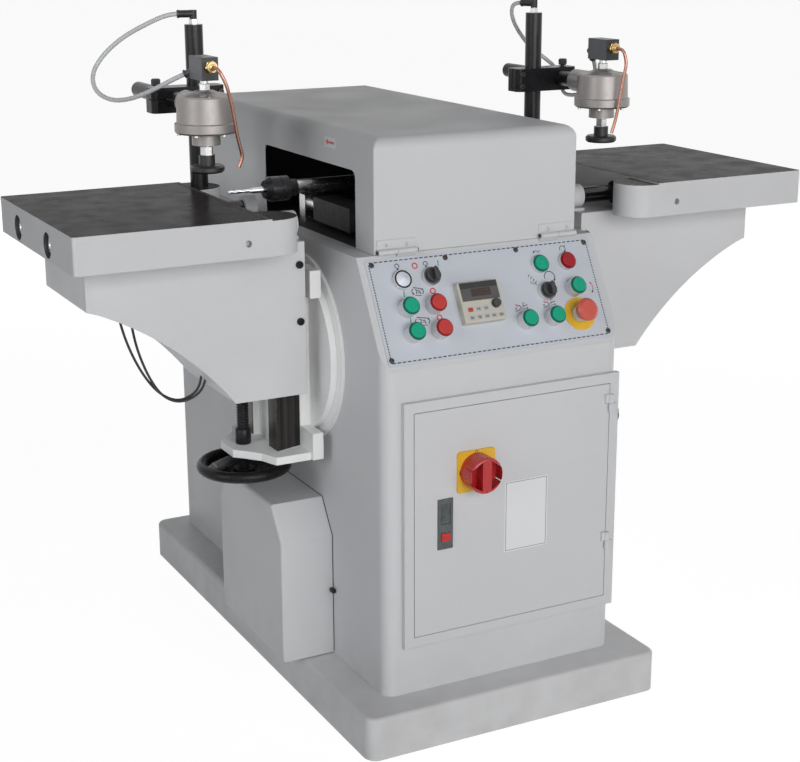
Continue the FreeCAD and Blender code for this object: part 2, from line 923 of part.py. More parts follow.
def main_switch_knob():
    body = new_body("main_switch_knob")
    x, z = switch_centre()
    back = -door_face() + size.switch_plate_thickness + size.slide_gap
    disc = new_sketch(body, "XZ_Plane", "disc", back)
    circle(disc, x, z, size.switch_knob_radius)
    height = size.switch_base_thickness + size.switch_grip_rise
    block = pad(body, disc, height)
    dress(body, "Fillet", block, size.switch_plate_corner,
          lambda edge: close(middle_of(edge).y, -(back + height)))
    # Two hollows leave the grip standing across the knob.
    hollows = new_sketch(body, "XZ_Plane", "hollows", back + height)
    half_grip = size.switch_grip_width / 2
    reach = size.switch_knob_radius - size.switch_plate_corner / 2
    tall = size.switch_knob_radius * SWITCH_HOLLOW_TALL_SHARE
    mouth = size.switch_knob_radius * SWITCH_HOLLOW_MOUTH_SHARE
    for side in (-1, 1):
        outline(hollows, [(x + half_grip * side, z - tall), (x + reach * side, z - mouth),
                          (x + reach * side, z + mouth), (x + half_grip * side, z + tall)])
    pocket(body, hollows, size.switch_grip_rise)
    shaft = new_sketch(body, "XZ_Plane", "shaft", back)
    circle(shaft, x, z, size.switch_shaft_radius)
    pad(body, shaft, size.switch_plate_thickness + size.latch_depth, reverse=True)


def door_latch():
    body = new_body("door_latch")
    x, z = latch_centre()
    half_width = size.latch_width / 2
    half_length = size.latch_length / 2
    flange = new_sketch(body, "XZ_Plane", "flange", -door_face())
    rectangle(flange, x - half_width, x + half_width, z - half_length, z + half_length)
    block = pad(body, flange, size.latch_proud)
    dress(body, "Fillet", block, size.latch_proud / 2,
          lambda edge: close(middle_of(edge).y, door_face() - size.latch_proud))
    case = new_sketch(body, "XZ_Plane", "case", -door_face())
    inset = size.latch_proud + size.slide_gap
    rectangle(case, x - half_width + inset, x + half_width - inset,
              z - half_length + inset, z + half_length - inset)
    pad(body, case, size.latch_depth, reverse=True)
    grip = new_sketch(body, "XZ_Plane", "grip", -door_face() + size.latch_proud)
    half_grip = size.latch_recess_width / 2
    rectangle(grip, x - half_grip, x + half_grip, z, z + size.latch_recess_length)
    pocket(body, grip, size.latch_recess)
    well = new_sketch(body, "XZ_Plane", "well", -door_face() + size.latch_proud)
    latch_button_outline(well, size.slide_gap)
    pocket(body, well, size.latch_proud + size.latch_depth * LATCH_WELL_SHARE)


def latch_button_outline(sketch, clearance):
    x, z = latch_centre()
    half_width = size.latch_button_width / 2 + clearance
    half_length = size.latch_button_length / 2 + clearance
    middle = z - size.latch_button_drop
    rectangle(sketch, x - half_width, x + half_width, middle - half_length, middle + half_length)


def latch_button():
    body = new_body("latch_button")
    face = -door_face() + size.latch_proud + size.latch_button_proud
    push = new_sketch(body, "XZ_Plane", "push", face)
    latch_button_outline(push, ZERO)
    block = pad(body, push, size.latch_proud + size.latch_button_proud + size.latch_depth / 2, reverse=True)
    dress(body, "Fillet", block, size.latch_button_proud / 2, lambda edge: close(middle_of(edge).y, -face))


# Control panel; its pieces are drawn flat, then laid on the slope


def on_slope(piece, x=ZERO, up=ZERO, out=ZERO):
    """Lays a piece on the slope: X across, up along the slope and out from its face."""
    local = FreeCAD.Placement(FreeCAD.Vector(x.value, up.value, out.value), FreeCAD.Rotation())
    piece.Placement = SLOPE.multiply(local)
    return piece


BUTTONS = {
    "left_table_start": (-size.outer_button_column, size.middle_button_row, "tall"),
    "left_table_stop": (-size.inner_button_column, size.middle_button_row, "tall"),
    "right_table_start": (-size.outer_button_column, size.low_table_row, "tall"),
    "right_table_stop": (-size.inner_button_column, size.low_table_row, "tall"),
    "spindle_start": (size.middle_button_column, size.high_button_row, "flush"),
    "spindle_stop": (size.right_button_column, size.high_button_row, "flush"),
    "oscillation_start": (size.right_button_column, size.middle_button_row, "tall"),
    "left_clamp": (size.near_button_column, size.low_button_row, "tall"),
    "right_clamp": (size.middle_button_column, size.low_button_row, "tall"),
}
SELECTORS = {
    "mode_selector": (-size.mode_selector_column, size.high_button_row),
    "rotation_selector": (size.middle_button_column, size.middle_button_row),
}
LAMP = (-size.lamp_column, size.high_button_row)
STOP = (size.right_button_column, size.low_button_row)


def control_panel():
    body = new_body("control_panel")
    half = size.panel_width / 2
    plate = new_sketch(body, "XY_Plane", "plate")
    rectangle(plate, -half, half, size.panel_low, size.panel_high)
    block = pad(body, plate, size.panel_thickness)
    dress(body, "Fillet", block, size.button_bore / 2, lambda edge: runs_along(edge, Z_AXIS))
    holes = new_sketch(body, "XY_Plane", "holes")
    places = [place[:2] for place in (*BUTTONS.values(), *SELECTORS.values(), LAMP, STOP)]
    for x, up in places:
        circle(holes, x, up, size.button_bore + size.running_gap)
    pocket(body, holes, size.panel_thickness + size.cut_over, reverse=True)
    on_slope(body)


def turned(label, profile, at, arcs=None):
    """A turned piece on the slope, from (radius, height) corners."""
    body = document.addObject("PartDesign::Body", label)
    body.Label = label
    section = new_sketch(body, "XZ_Plane", "section")
    outline(section, profile, arcs)
    revolve(body, section)
    return on_slope(body, at[0], at[1])


def collar_profile(kind):
    """Half section of a switch collar with its barrel through the panel."""
    plate = size.panel_thickness
    top = plate + (size.collar_height if kind == "tall" else size.flush_collar_height)
    floor = plate + (size.collar_floor if kind == "tall" else size.panel_thickness)
    stem = size.cap_stem_radius + size.slide_gap
    return [(stem, -size.collar_barrel), (size.button_bore, -size.collar_barrel), (size.button_bore, plate),
            (size.collar_radius, plate), (size.collar_radius, top), (size.collar_cup_radius, top),
            (size.collar_cup_radius, floor), (stem, floor)]


def button_collars():
    plate = size.panel_thickness
    solids = []
    for name, (x, up, kind) in BUTTONS.items():
        solids.append(turned(f"{name}_collar", collar_profile(kind), (x, up)))
    stem = size.cap_stem_radius + size.slide_gap
    for name, place in SELECTORS.items():
        top = plate + size.selector_collar_height
        profile = [(stem, -size.collar_barrel), (size.button_bore, -size.collar_barrel),
                   (size.button_bore, plate),
                   (size.collar_radius, plate), (size.collar_radius, top), (stem, top)]
        solids.append(turned(f"{name}_collar", profile, place))
    dome = plate + size.flush_collar_height + size.lamp_dome
    lamp = [(ZERO, -size.collar_barrel), (size.button_bore, -size.collar_barrel), (size.button_bore, plate),
            (size.lamp_radius, plate), (size.lamp_radius, plate + size.flush_collar_height),
            (size.collar_cup_radius, plate + size.flush_collar_height), (ZERO, dome)]
    solids.append(turned("pilot_lamp", lamp, LAMP))
    shield = plate + size.stop_shield_thickness
    base = plate + size.stop_base_height
    stop = [(stem, -size.collar_barrel), (size.button_bore, -size.collar_barrel), (size.button_bore, plate),
            (size.stop_shield_radius, plate), (size.stop_shield_radius, shield),
            (size.stop_base_radius, shield), (size.stop_base_radius, base), (stem, base)]
    solids.append(turned("stop_collar", stop, STOP))
    group("button_collars", solids)


def push_caps():
    plate = size.panel_thickness
    stem_low = -size.collar_barrel + size.cap_lift
    for name, (x, up, kind) in BUTTONS.items():
        top = plate + (size.collar_height if kind == "tall" else size.flush_collar_height) + size.cap_proud
        floor = plate + (size.collar_floor if kind == "tall" else size.panel_thickness)
        edge = size.cap_edge
        profile = [(ZERO, stem_low), (size.cap_stem_radius, stem_low),
                   (size.cap_stem_radius, floor + size.cap_lift),
                   (size.cap_radius, floor + size.cap_lift), (size.cap_radius, top - edge),
                   (size.cap_radius - edge, top), (ZERO, top)]
        cap = turned(f"{name}_button", profile, (x, up))
        PIECES.append(cap)


def stop_button():
    base = size.panel_thickness + size.stop_base_height
    low = base + size.stop_lift
    stem_low = -size.collar_barrel + size.stop_lift
    top = low + size.stop_head_height
    edge = size.stop_head_radius * STOP_EDGE_SHARE
    profile = [(ZERO, stem_low), (size.cap_stem_radius, stem_low), (size.cap_stem_radius, low),
               (size.stop_neck_radius, low), (size.stop_head_radius, low + edge),
               (size.stop_head_radius, top - edge), (size.stop_head_radius - edge, top), (ZERO, top)]
    PIECES.append(turned("emergency_stop_button", profile, STOP))


def selector_knobs():
    low = size.panel_thickness + size.selector_collar_height + size.slide_gap
    high = low + size.selector_height
    for name, (x, up) in SELECTORS.items():
        body = new_body(name)
        section = new_sketch(body, "XZ_Plane", "section")
        edge = size.cap_edge
        outline(section, [(ZERO, -size.collar_barrel), (size.cap_stem_radius, -size.collar_barrel),
                          (size.cap_stem_radius, low), (size.selector_radius, low),
                          (size.selector_radius, high - edge), (size.selector_radius - edge, high),
                          (ZERO, high)])
        revolve(body, section)
        grip = new_sketch(body, "XY_Plane", "grip", high)
        half = size.selector_grip_width / 2
        tip = size.selector_radius * SELECTOR_TIP_SHARE
        tail = tip * SELECTOR_TAIL_SHARE
        shoulder = tip * SELECTOR_SHOULDER_SHARE
        outline(grip, [(-half, -tail), (half, -tail), (half, shoulder), (ZERO, tip), (-half, shoulder)])
        block = pad(body, grip, size.selector_grip_rise)
        dress(body, "Fillet", block, edge,
              lambda line: close(middle_of(line).z, high + size.selector_grip_rise))
        on_slope(body, x, up)


def speed_knob_place():
    x = -size.display_left + size.display_width - size.speed_knob_in
    return x, size.display_low + size.speed_knob_up


def display_unit():
    body = new_body("display_unit")
    left = -size.display_left
    right = left + size.display_width
    low = size.display_low
    high = low + size.display_height
    case = new_sketch(body, "XY_Plane", "case", size.panel_thickness)
    rectangle(case, left, right, low, high)
    block = pad(body, case, size.display_thickness)
    top = size.panel_thickness + size.display_thickness
    dress(body, "Fillet", block, size.display_corner,
          lambda edge: runs_along(edge, Z_AXIS) or close(middle_of(edge).z, top))
    inset = size.screen_inset
    screen = new_sketch(body, "XY_Plane", "screen", top)
    screen_top = high - size.screen_drop
    rectangle(screen, left + inset, right - inset, screen_top - size.screen_height, screen_top)
    pocket(body, screen, size.screen_depth)
    stem = new_sketch(body, "XY_Plane", "stem", top)
    circle(stem, *speed_knob_place(), size.speed_stem_radius + size.slide_gap)
    pocket(body, stem, size.display_thickness * STEM_BORE_SHARE)
    on_slope(body)


def speed_knob():
    low = size.panel_thickness + size.display_thickness + size.slide_gap
    foot = low - size.display_thickness * STEM_FOOT_SHARE
    top = low + size.speed_knob_height
    edge = size.cap_edge
    profile = [(ZERO, foot), (size.speed_stem_radius, foot), (size.speed_stem_radius, low),
               (size.speed_knob_radius, low), (size.speed_knob_radius - edge / 2, top - edge),
               (size.speed_knob_radius - edge, top), (ZERO, top)]
    PIECES.append(turned("speed_knob", profile, speed_knob_place()))


# Side cover, hood and spindle drive


def belt_cover():
    body = new_body("belt_cover")
    low = plinth_top + size.cover_lift
    shoulder = low + size.cover_shoulder
    top = low + size.cover_top
    front = -size.cover_front
    back = size.cover_back
    lean = size.cover_chamfer

    def profile(inset):
        return [(front + inset, low + inset), (front + inset, shoulder),
                (front + lean + inset / 2, top - inset), (back - lean - inset / 2, top - inset),
                (back - inset, shoulder), (back - inset, low + inset)]

    shell = new_sketch(body, "YZ_Plane", "shell", -wall_out - size.cover_thickness)
    outline(shell, profile(ZERO))
    block = pad(body, shell, size.cover_thickness)
    outer = -wall_out - size.cover_thickness
    dress(body, "Fillet", block, size.cover_edge, lambda edge: close(middle_of(edge).x, outer))
    hollow = new_sketch(body, "YZ_Plane", "hollow", -wall_out - size.cover_thickness + size.cover_wall)
    outline(hollow, profile(size.cover_wall))
    pocket(body, hollow, size.cover_thickness, reverse=True)


def spindle_hood():
    body = new_body("spindle_hood")
    half = size.hood_width / 2
    low = deck + size.hood_gap
    top = low + size.hood_height
    wall = size.hood_wall
    plan = new_sketch(body, "XY_Plane", "plan", low)
    rectangle(plan, -half, half, -size.hood_front, size.hood_back)
    block = pad(body, plan, size.hood_height)
    bends = dress(body, "Fillet", block, size.hood_round, lambda edge: close(middle_of(edge).z, top))
    solid = dress(body, "Fillet", bends, size.hood_corner, lambda edge: runs_along(edge, Z_AXIS))
    document.recompute()
    shell = body.newObject("PartDesign::Thickness", "hood_shell")
    foot_face = next(f"Face{n}" for n, face in enumerate(solid.Shape.Faces, start=1)
                     if close(face.CenterOfMass.z, low))
    shell.Base = (solid, [foot_face])
    shell.setExpression("Value", wall.text)
    shell.Reversed = True
    windows = new_sketch(body, "YZ_Plane", "windows")
    corner = size.hood_window_corner
    head = low + size.hood_window_height
    front, back = -size.hood_window_front, size.hood_window_back
    outline(windows, [(front, low - corner), (back, low - corner), (back, head - corner),
                      (back - corner, head), (front + corner, head), (front, head - corner)],
            {2: corner * WINDOW_ARC_SHARE, 4: corner * WINDOW_ARC_SHARE})
    pocket(body, windows, size.hood_width + size.cut_over * 2, side="Symmetric")
    # Moving half of each hinge, with its leaf on the front.
    y, z = hood_axis()
    half_length = (size.hood_hinge_length - size.knuckle_gap) / 2
    for number, start in enumerate(hood_hinge_starts()):
        moving_start = start + (half_length + size.knuckle_gap) * number
        barrel = new_sketch(body, "YZ_Plane", f"knuckle_{number}", moving_start)
        circle(barrel, y, z, size.hinge_radius)
        pad(body, barrel, half_length)
        web = new_sketch(body, "YZ_Plane", f"web_{number}", moving_start)
        rectangle(web, y, -size.hood_front, z, z + size.hinge_radius)
        pad(body, web, half_length)
        leaf = new_sketch(body, "YZ_Plane", f"leaf_{number}", start)
        rectangle(leaf, -size.hood_front - size.hood_leaf, -size.hood_front,
                  low, low + size.hood_leaf_height)
        pad(body, leaf, size.hood_hinge_length)


def slide_rods():
    """Two rods across the deck, each held in a block at both ends, as one welded rack."""
    rod_height = deck + size.rod_rise
    solids = []
    for side, x in (("left", -size.rod_spread), ("right", size.rod_spread)):
        bar = rod(f"{side}_rod", x, spindle_y - size.rod_half_length, rod_height,
                  size.rod_radius, size.rod_half_length * 2, "Y")
        shapes = [bar]
        for end, y in (("front", spindle_y - size.rod_half_length),
                       ("back", spindle_y + size.rod_half_length - size.rod_block_depth)):
            shapes.append(box(f"{side}_{end}_rod_block", x - size.rod_block_width / 2, y, deck,
                              size.rod_block_width, size.rod_block_depth, size.rod_block_height))
        solids.append(fuse(f"{side}_slide_rod", *shapes))
    group("slide_rods", solids)


def spindle_carriage():
    body = new_body("spindle_carriage")
    low = deck + size.carriage_rise
    half_depth = size.carriage_half_depth
    lug_out = size.rod_spread + size.lug_width / 2
    plan = new_sketch(body, "XY_Plane", "plan", low)
    yoke_end = crank_y + size.yoke_back
    back = spindle_y + half_depth
    outline(plan, [(-lug_out, spindle_y - half_depth), (lug_out, spindle_y - half_depth), (lug_out, back),
                   (size.yoke_half_width, back), (size.yoke_half_width, yoke_end),
                   (-size.yoke_half_width, yoke_end), (-size.yoke_half_width, back), (-lug_out, back)])
    pad(body, plan, size.carriage_plate)
    lugs = new_sketch(body, "XY_Plane", "lugs", low)
    for left in (-lug_out, lug_out - size.lug_width):
        rectangle(lugs, left, left + size.lug_width, spindle_y - half_depth, back)
    pad(body, lugs, size.lug_top - size.carriage_rise)
    bores = new_sketch(body, "XZ_Plane", "bores", -spindle_y)
    for x in (-size.rod_spread, size.rod_spread):
        circle(bores, x, deck + size.rod_rise, size.rod_radius + size.running_gap)
    pocket(body, bores, half_depth * 2 + size.cut_over, side="Symmetric")
    slot = new_sketch(body, "XY_Plane", "slot", low)
    play = size.crank_roller_radius + size.yoke_play
    rectangle(slot, -size.yoke_slot_left, size.yoke_slot_right, crank_y - play, crank_y + play)
    pocket(body, slot, size.carriage_plate + size.cut_over, reverse=True)


def spindle_motor():
    body = new_body("spindle_motor")
    frame = new_sketch(body, "YZ_Plane", "frame")
    circle(frame, spindle_y, spindle_height, size.motor_radius)
    pad(body, frame, size.motor_half_length * 2, side="Symmetric")
    foot = new_sketch(body, "XY_Plane", "foot", deck + size.carriage_rise + size.carriage_plate)
    half_width = size.motor_foot_width / 2
    half_depth = size.motor_foot_depth / 2
    rectangle(foot, -half_width, half_width, spindle_y - half_depth, spindle_y + half_depth)
    pad(body, foot, size.spindle_rise - size.carriage_rise - size.carriage_plate)
    # Cooling fins over the upper half, between the end bells.
    fins = new_sketch(body, "YZ_Plane", "fins")
    half_fin = size.motor_fin_width / 2
    reach = size.motor_radius + size.motor_fin_rise
    root = size.motor_radius * FIN_ROOT_SHARE
    for number in range(-FINS_EACH_WAY, FINS_EACH_WAY + 1):
        angle = math.radians(number * FIN_STEP_DEGREES)
        lean, rise = math.sin(angle), math.cos(angle)
        corners = []
        for out, aside in ((root, -half_fin), (reach, -half_fin), (reach, half_fin), (root, half_fin)):
            u = spindle_y + out * lean + aside * rise
            v = spindle_height + out * rise - aside * lean
            corners.append((u, v))
        outline(fins, corners)
    pad(body, fins, size.motor_half_length * FIN_LENGTH_SHARE, side="Symmetric")
    bore = new_sketch(body, "YZ_Plane", "bore")
    circle(bore, spindle_y, spindle_height, size.spindle_radius + size.running_gap)
    pocket(body, bore, size.motor_half_length * 2 + size.cut_over, side="Symmetric")


def along_spindle(body):
    """Turns a piece drawn upright so that it lies along X on the spindle's axis."""
    body.Placement.Rotation = FreeCAD.Rotation(Y_AXIS, 90)
    return locate(body, ZERO, spindle_y, spindle_height)


def spindle_shaft():
    """Shaft with a tool socket turned on each end, bored for a plain shank."""
    body = new_body("spindle_shaft")
    reach = size.spindle_reach
    ring = reach - size.spindle_ring_length
    nose = reach + size.chuck_length
    shoulder = nose - size.chuck_nose_length
    groove = reach + size.chuck_groove_offset
    edge = size.cap_edge
    chuck = size.chuck_radius
    bore_end = nose - size.chuck_bore_depth
    half = [(size.spindle_radius, ring), (size.spindle_ring_radius, ring),
            (size.spindle_ring_radius, reach), (chuck - edge, reach), (chuck, reach + edge),
            (chuck, groove), (chuck - edge, groove), (chuck - edge, groove + edge), (chuck, groove + edge),
            (chuck, shoulder), (size.chuck_nose_radius, nose), (size.chuck_bore_radius, nose),
            (size.chuck_bore_radius, bore_end), (ZERO, bore_end)]
    section = new_sketch(body, "XZ_Plane", "section")
    outline(section, half + [(radius, -along) for radius, along in reversed(half)])
    revolve(body, section)
    along_spindle(body)


def mortising_bit():
    body = new_body("mortising_bit")
    tip = size.bit_reach
    root = size.spindle_reach + size.chuck_length - size.chuck_bore_depth + size.slide_gap
    shank = size.chuck_bore_radius - size.running_gap
    cutter = size.bit_cutter_radius
    neck = tip - size.bit_cutter_length
    section = new_sketch(body, "XZ_Plane", "section")
    outline(section, [(ZERO, -root), (shank, -root), (shank, -neck + shank), (cutter, -neck),
                      (cutter, -tip + cutter / 2), (cutter / 2, -tip), (ZERO, -tip)])
    revolve(body, section)
    # Two flutes run along the cutter.
    flutes = new_sketch(body, "XY_Plane", "flutes", -tip - size.cut_over)
    for side in (-1, 1):
        circle(flutes, cutter * FLUTE_OUT_SHARE * side, cutter * FLUTE_ASIDE_SHARE * side,
               cutter * FLUTE_RADIUS_SHARE)
    pocket(body, flutes, size.bit_cutter_length + size.cut_over, reverse=True)
    along_spindle(body)


def crank_wheel():
    body = new_body("crank_wheel")
    low = deck + size.crank_lift
    disc = new_sketch(body, "XY_Plane", "disc", low)
    circle(disc, -size.crank_throw, crank_y, size.crank_radius)
    pad(body, disc, size.crank_thickness)
    shaft = new_sketch(body, "XY_Plane", "shaft", low)
    circle(shaft, -size.crank_throw, crank_y, size.crank_shaft_radius)
    pad(body, shaft, size.crank_lift + size.column_wall + size.gearbox_height / 2, reverse=True)
    roller = new_sketch(body, "XY_Plane", "roller", low + size.crank_thickness)
    circle(roller, ZERO, crank_y, size.crank_roller_radius)
    pad(body, roller, size.crank_roller_height)


def oscillation_gearbox():
    top = deck - size.column_wall
    half = size.gearbox_width / 2
    low = top - size.gearbox_height
    case = box("gearbox_case", -size.crank_throw - half, crank_y - half, low,
               size.gearbox_width, size.gearbox_width, size.gearbox_height)
    boss = rod("gearbox_boss", -size.crank_throw, crank_y, top - size.gearbox_height / 4,
               size.deck_hole_radius - size.slide_gap, size.gearbox_height / 4 + size.column_wall)
    motor = rod("gearbox_motor", -size.crank_throw, crank_y, low - size.gear_motor_length,
                size.gear_motor_radius, size.gear_motor_length)
    bore = rod("gearbox_bore", -size.crank_throw, crank_y, top - size.gearbox_height * GEARBOX_BORE_SHARE,
               size.crank_shaft_radius + size.running_gap, size.gearbox_height)
    gearbox = cut("oscillation_gearbox", fuse("gearbox_whole", case, boss, motor), bore)
    register(gearbox, "oscillation_gearbox")


# Swivel ring, way, screw and handwheel on each side


def swivel_rings():
    disc = rod("right_ring_disc", wall_out, swivel_y, size.swivel_height, size.ring_radius,
               size.ring_thickness, "X")
    pivot = rod("right_ring_pivot", wall_out, swivel_y, size.swivel_height, size.pivot_radius,
                size.ring_thickness + size.pivot_length, "X")
    right = fuse("right_swivel_ring", disc, pivot)
    left = document.addObject("Part::Mirroring", "left_swivel_ring")
    left.Source = right
    left.Normal = X_AXIS
    group("swivel_rings", [right, left])


def slide_way(label):
    body = new_body(label)
    centre = size.swivel_height
    flange = new_sketch(body, "YZ_Plane", "flange", way_foot)
    circle(flange, swivel_y, centre, size.way_flange_radius)
    pad(body, flange, size.way_flange_thickness)
    # The plate has wide ears above and below and a narrow waist.
    low = centre - size.way_plate_low
    high = centre + size.way_plate_high
    ear = size.way_ear_height
    wide = size.way_ear_half_width
    waist = size.way_waist_half_width
    plate = new_sketch(body, "YZ_Plane", "plate", way_foot + size.way_flange_thickness)
    half_plate = [(wide, low), (wide, low + ear), (waist, low + ear),
                  (waist, high - ear), (wide, high - ear), (wide, high)]
    outline(plate, [(swivel_y + out, z) for out, z in half_plate]
            + [(swivel_y - out, z) for out, z in reversed(half_plate)])
    pad(body, plate, size.way_plate_thickness)
    tail = new_sketch(body, "XY_Plane", "tail", dovetail_foot)
    dovetail_outline(tail, ZERO)
    pad(body, tail, size.dovetail_low + size.dovetail_high)
    # Relief down the outer face, so that the slide bears on two lands.
    relief = new_sketch(body, "XY_Plane", "relief", dovetail_foot)
    rectangle(relief, dovetail_face_out - size.relief_depth, dovetail_face_out + size.relief_depth,
              swivel_y - size.relief_half_width, swivel_y + size.relief_half_width)
    pocket(body, relief, size.dovetail_low + size.dovetail_high + size.cut_over, reverse=True)
    # Foot plate under the way, which holds the lead screw.
    foot = new_sketch(body, "XY_Plane", "foot", dovetail_foot - size.foot_thickness)
    half_shapes = [(ZERO, size.foot_inner_half), (size.foot_step_out, size.foot_inner_half),
                   (size.foot_neck_out, size.foot_middle_half),
                   (size.foot_reach - size.foot_thickness, size.foot_outer_half),
                   (size.foot_reach, size.foot_outer_half - size.foot_thickness)]
    far_side = [(way_plate_face + out, swivel_y + half) for out, half in half_shapes]
    near_side = [(way_plate_face + out, swivel_y - half) for out, half in reversed(half_shapes)]
    outline(foot, far_side + near_side)
    pad(body, foot, size.foot_thickness)
    journal = new_sketch(body, "XY_Plane", "journal", dovetail_foot)
    circle(journal, size.screw_out, swivel_y, size.screw_journal_radius + size.running_gap)
    pocket(body, journal, size.foot_thickness + size.cut_over)
    pivot = new_sketch(body, "YZ_Plane", "pivot", way_foot)
    circle(pivot, swivel_y, centre, size.pivot_radius + size.running_gap)
    pocket(body, pivot, size.pivot_length + size.slide_gap, reverse=True)
    return body


def dovetail_outline(sketch, clearance):
    """Plan of the dovetail, grown by the clearance for the slide that runs on it."""
    root = size.dovetail_root + clearance
    face = size.dovetail_face + clearance
    inner = way_plate_face - clearance
    outer = dovetail_face_out + clearance
    outline(sketch, [(inner, swivel_y - root), (outer, swivel_y - face),
                     (outer, swivel_y + face), (inner, swivel_y + root)])


def lead_screw(label):
    body = new_body(label)
    collar_foot = dovetail_foot + size.slide_gap
    collar_top = collar_foot + size.screw_collar_height
    tip = size.swivel_height + size.screw_top
    tail = dovetail_foot - size.foot_thickness - size.wheel_drop - size.wheel_hub_height
    section = new_sketch(body, "XZ_Plane", "section")
    journal = size.screw_journal_radius
    thread = size.screw_radius
    collar = size.screw_collar_radius
    outline(section, [(ZERO, tail), (journal, tail), (journal, collar_foot), (collar, collar_foot),
                      (collar, collar_top), (thread, collar_top), (thread, tip - journal / 2),
                      (thread - journal / 2, tip), (ZERO, tip)])
    revolve(body, section)
    return locate(body, size.screw_out, swivel_y, ZERO)


def handwheel(label):
    """Dished wheel: a round rim, a hub below it and a closed sloping web."""
    body = new_body(label)
    rim_height = dovetail_foot - size.foot_thickness - size.wheel_drop
    hub_foot = rim_height - size.wheel_hub_height
    hub_top = rim_height - size.wheel_rim / 2
    rim_out = size.wheel_radius - size.wheel_rim
    rim = new_sketch(body, "XZ_Plane", "rim")
    circle(rim, rim_out, rim_height, size.wheel_rim)
    revolve(body, rim)
    web = new_sketch(body, "XZ_Plane", "web")
    thick = size.wheel_web_thickness
    bore = size.screw_journal_radius + size.running_gap
    hub = size.wheel_hub_radius
    web_end = rim_height - size.wheel_web_drop
    outline(web, [(bore, hub_foot), (hub, hub_foot), (hub, hub_foot + thick), (rim_out, web_end - thick / 2),
                  (rim_out, web_end + thick / 2), (hub, hub_foot + thick * 2), (hub, hub_top), (bore, hub_top)])
    revolve(body, web)
    return locate(body, size.screw_out, swivel_y, ZERO)


# Knee, guide bars and table on each side


def knee(label):
    body = new_body(label)
    inner = size.knee_inner
    wall = size.knee_wall
    end_low = size.swivel_height + size.knee_end_low
    curve_low = size.swivel_height + size.knee_curve_start_low
    side = new_sketch(body, "XZ_Plane", "side", -swivel_y)
    outline(side, [(inner, knee_bottom), (size.knee_curve_end_out, knee_bottom),
                   (size.knee_curve_start_out, curve_low), (size.knee_outer, end_low),
                   (size.knee_outer, knee_top), (inner, knee_top)],
            {1: -size.knee_curve_radius})
    pad(body, side, size.knee_half_width * 2, side="Symmetric")
    # Hollow between the walls, above the nut web and out to the end wall.
    saddle = inner + size.knee_saddle
    web_top = knee_bottom + size.knee_nut_height
    hollow = new_sketch(body, "XZ_Plane", "hollow", -swivel_y)
    roof = knee_top - wall
    outline(hollow, [(saddle, web_top), (size.knee_curve_end_out, web_top),
                     (size.knee_curve_start_out - wall, curve_low + wall),
                     (size.knee_outer - wall, end_low + wall / 2),
                     (size.knee_outer - wall, roof), (saddle, roof)],
            {1: -size.knee_curve_radius})
    pocket(body, hollow, (size.knee_half_width - wall) * 2, side="Symmetric")
    # Dovetail groove that rides on the way, closed above by the knee's top.
    groove = new_sketch(body, "XY_Plane", "groove", knee_bottom - size.cut_over)
    dovetail_outline(groove, size.slide_gap)
    pocket(body, groove, roof - knee_bottom + size.cut_over, reverse=True)
    nut = new_sketch(body, "XY_Plane", "nut", knee_bottom - size.cut_over)
    circle(nut, size.screw_out, swivel_y, size.screw_radius + size.slide_gap)
    pocket(body, nut, size.knee_nut_height + size.cut_over * 2, reverse=True)
    # Upright bracket on the inner end that holds the guide bars.
    bracket = new_sketch(body, "YZ_Plane", "bracket", inner)
    bars_middle = -(size.bar_front + size.bar_behind) / 2
    half = size.bracket_half_width
    top = knee_top + size.bracket_height
    rectangle(bracket, bars_middle - half, bars_middle + half, knee_top, top)
    pad(body, bracket, size.bracket_thickness)
    bosses = new_sketch(body, "YZ_Plane", "bosses", inner)
    for y in (-size.bar_front, -size.bar_behind):
        circle(bosses, y, bar_height, size.bracket_boss_radius)
    pad(body, bosses, size.bracket_thickness)
    bores = new_sketch(body, "YZ_Plane", "bores", inner)
    for y in (-size.bar_front, -size.bar_behind):
        circle(bores, y, bar_height, size.bar_radius + size.running_gap)
    pocket(body, bores, size.bracket_thickness + size.cut_over, reverse=True)
    return body


def guide_bars():
    for side, start in (("right", size.knee_inner), ("left", -size.bar_reach)):
        bars = [rod(f"{side}_{name}_guide_bar", start, y, bar_height, size.bar_radius,
                    size.bar_reach - size.knee_inner, "X")
                for name, y in (("front", -size.bar_front), ("rear", -size.bar_behind))]
        group(f"{side}_guide_bars", bars)


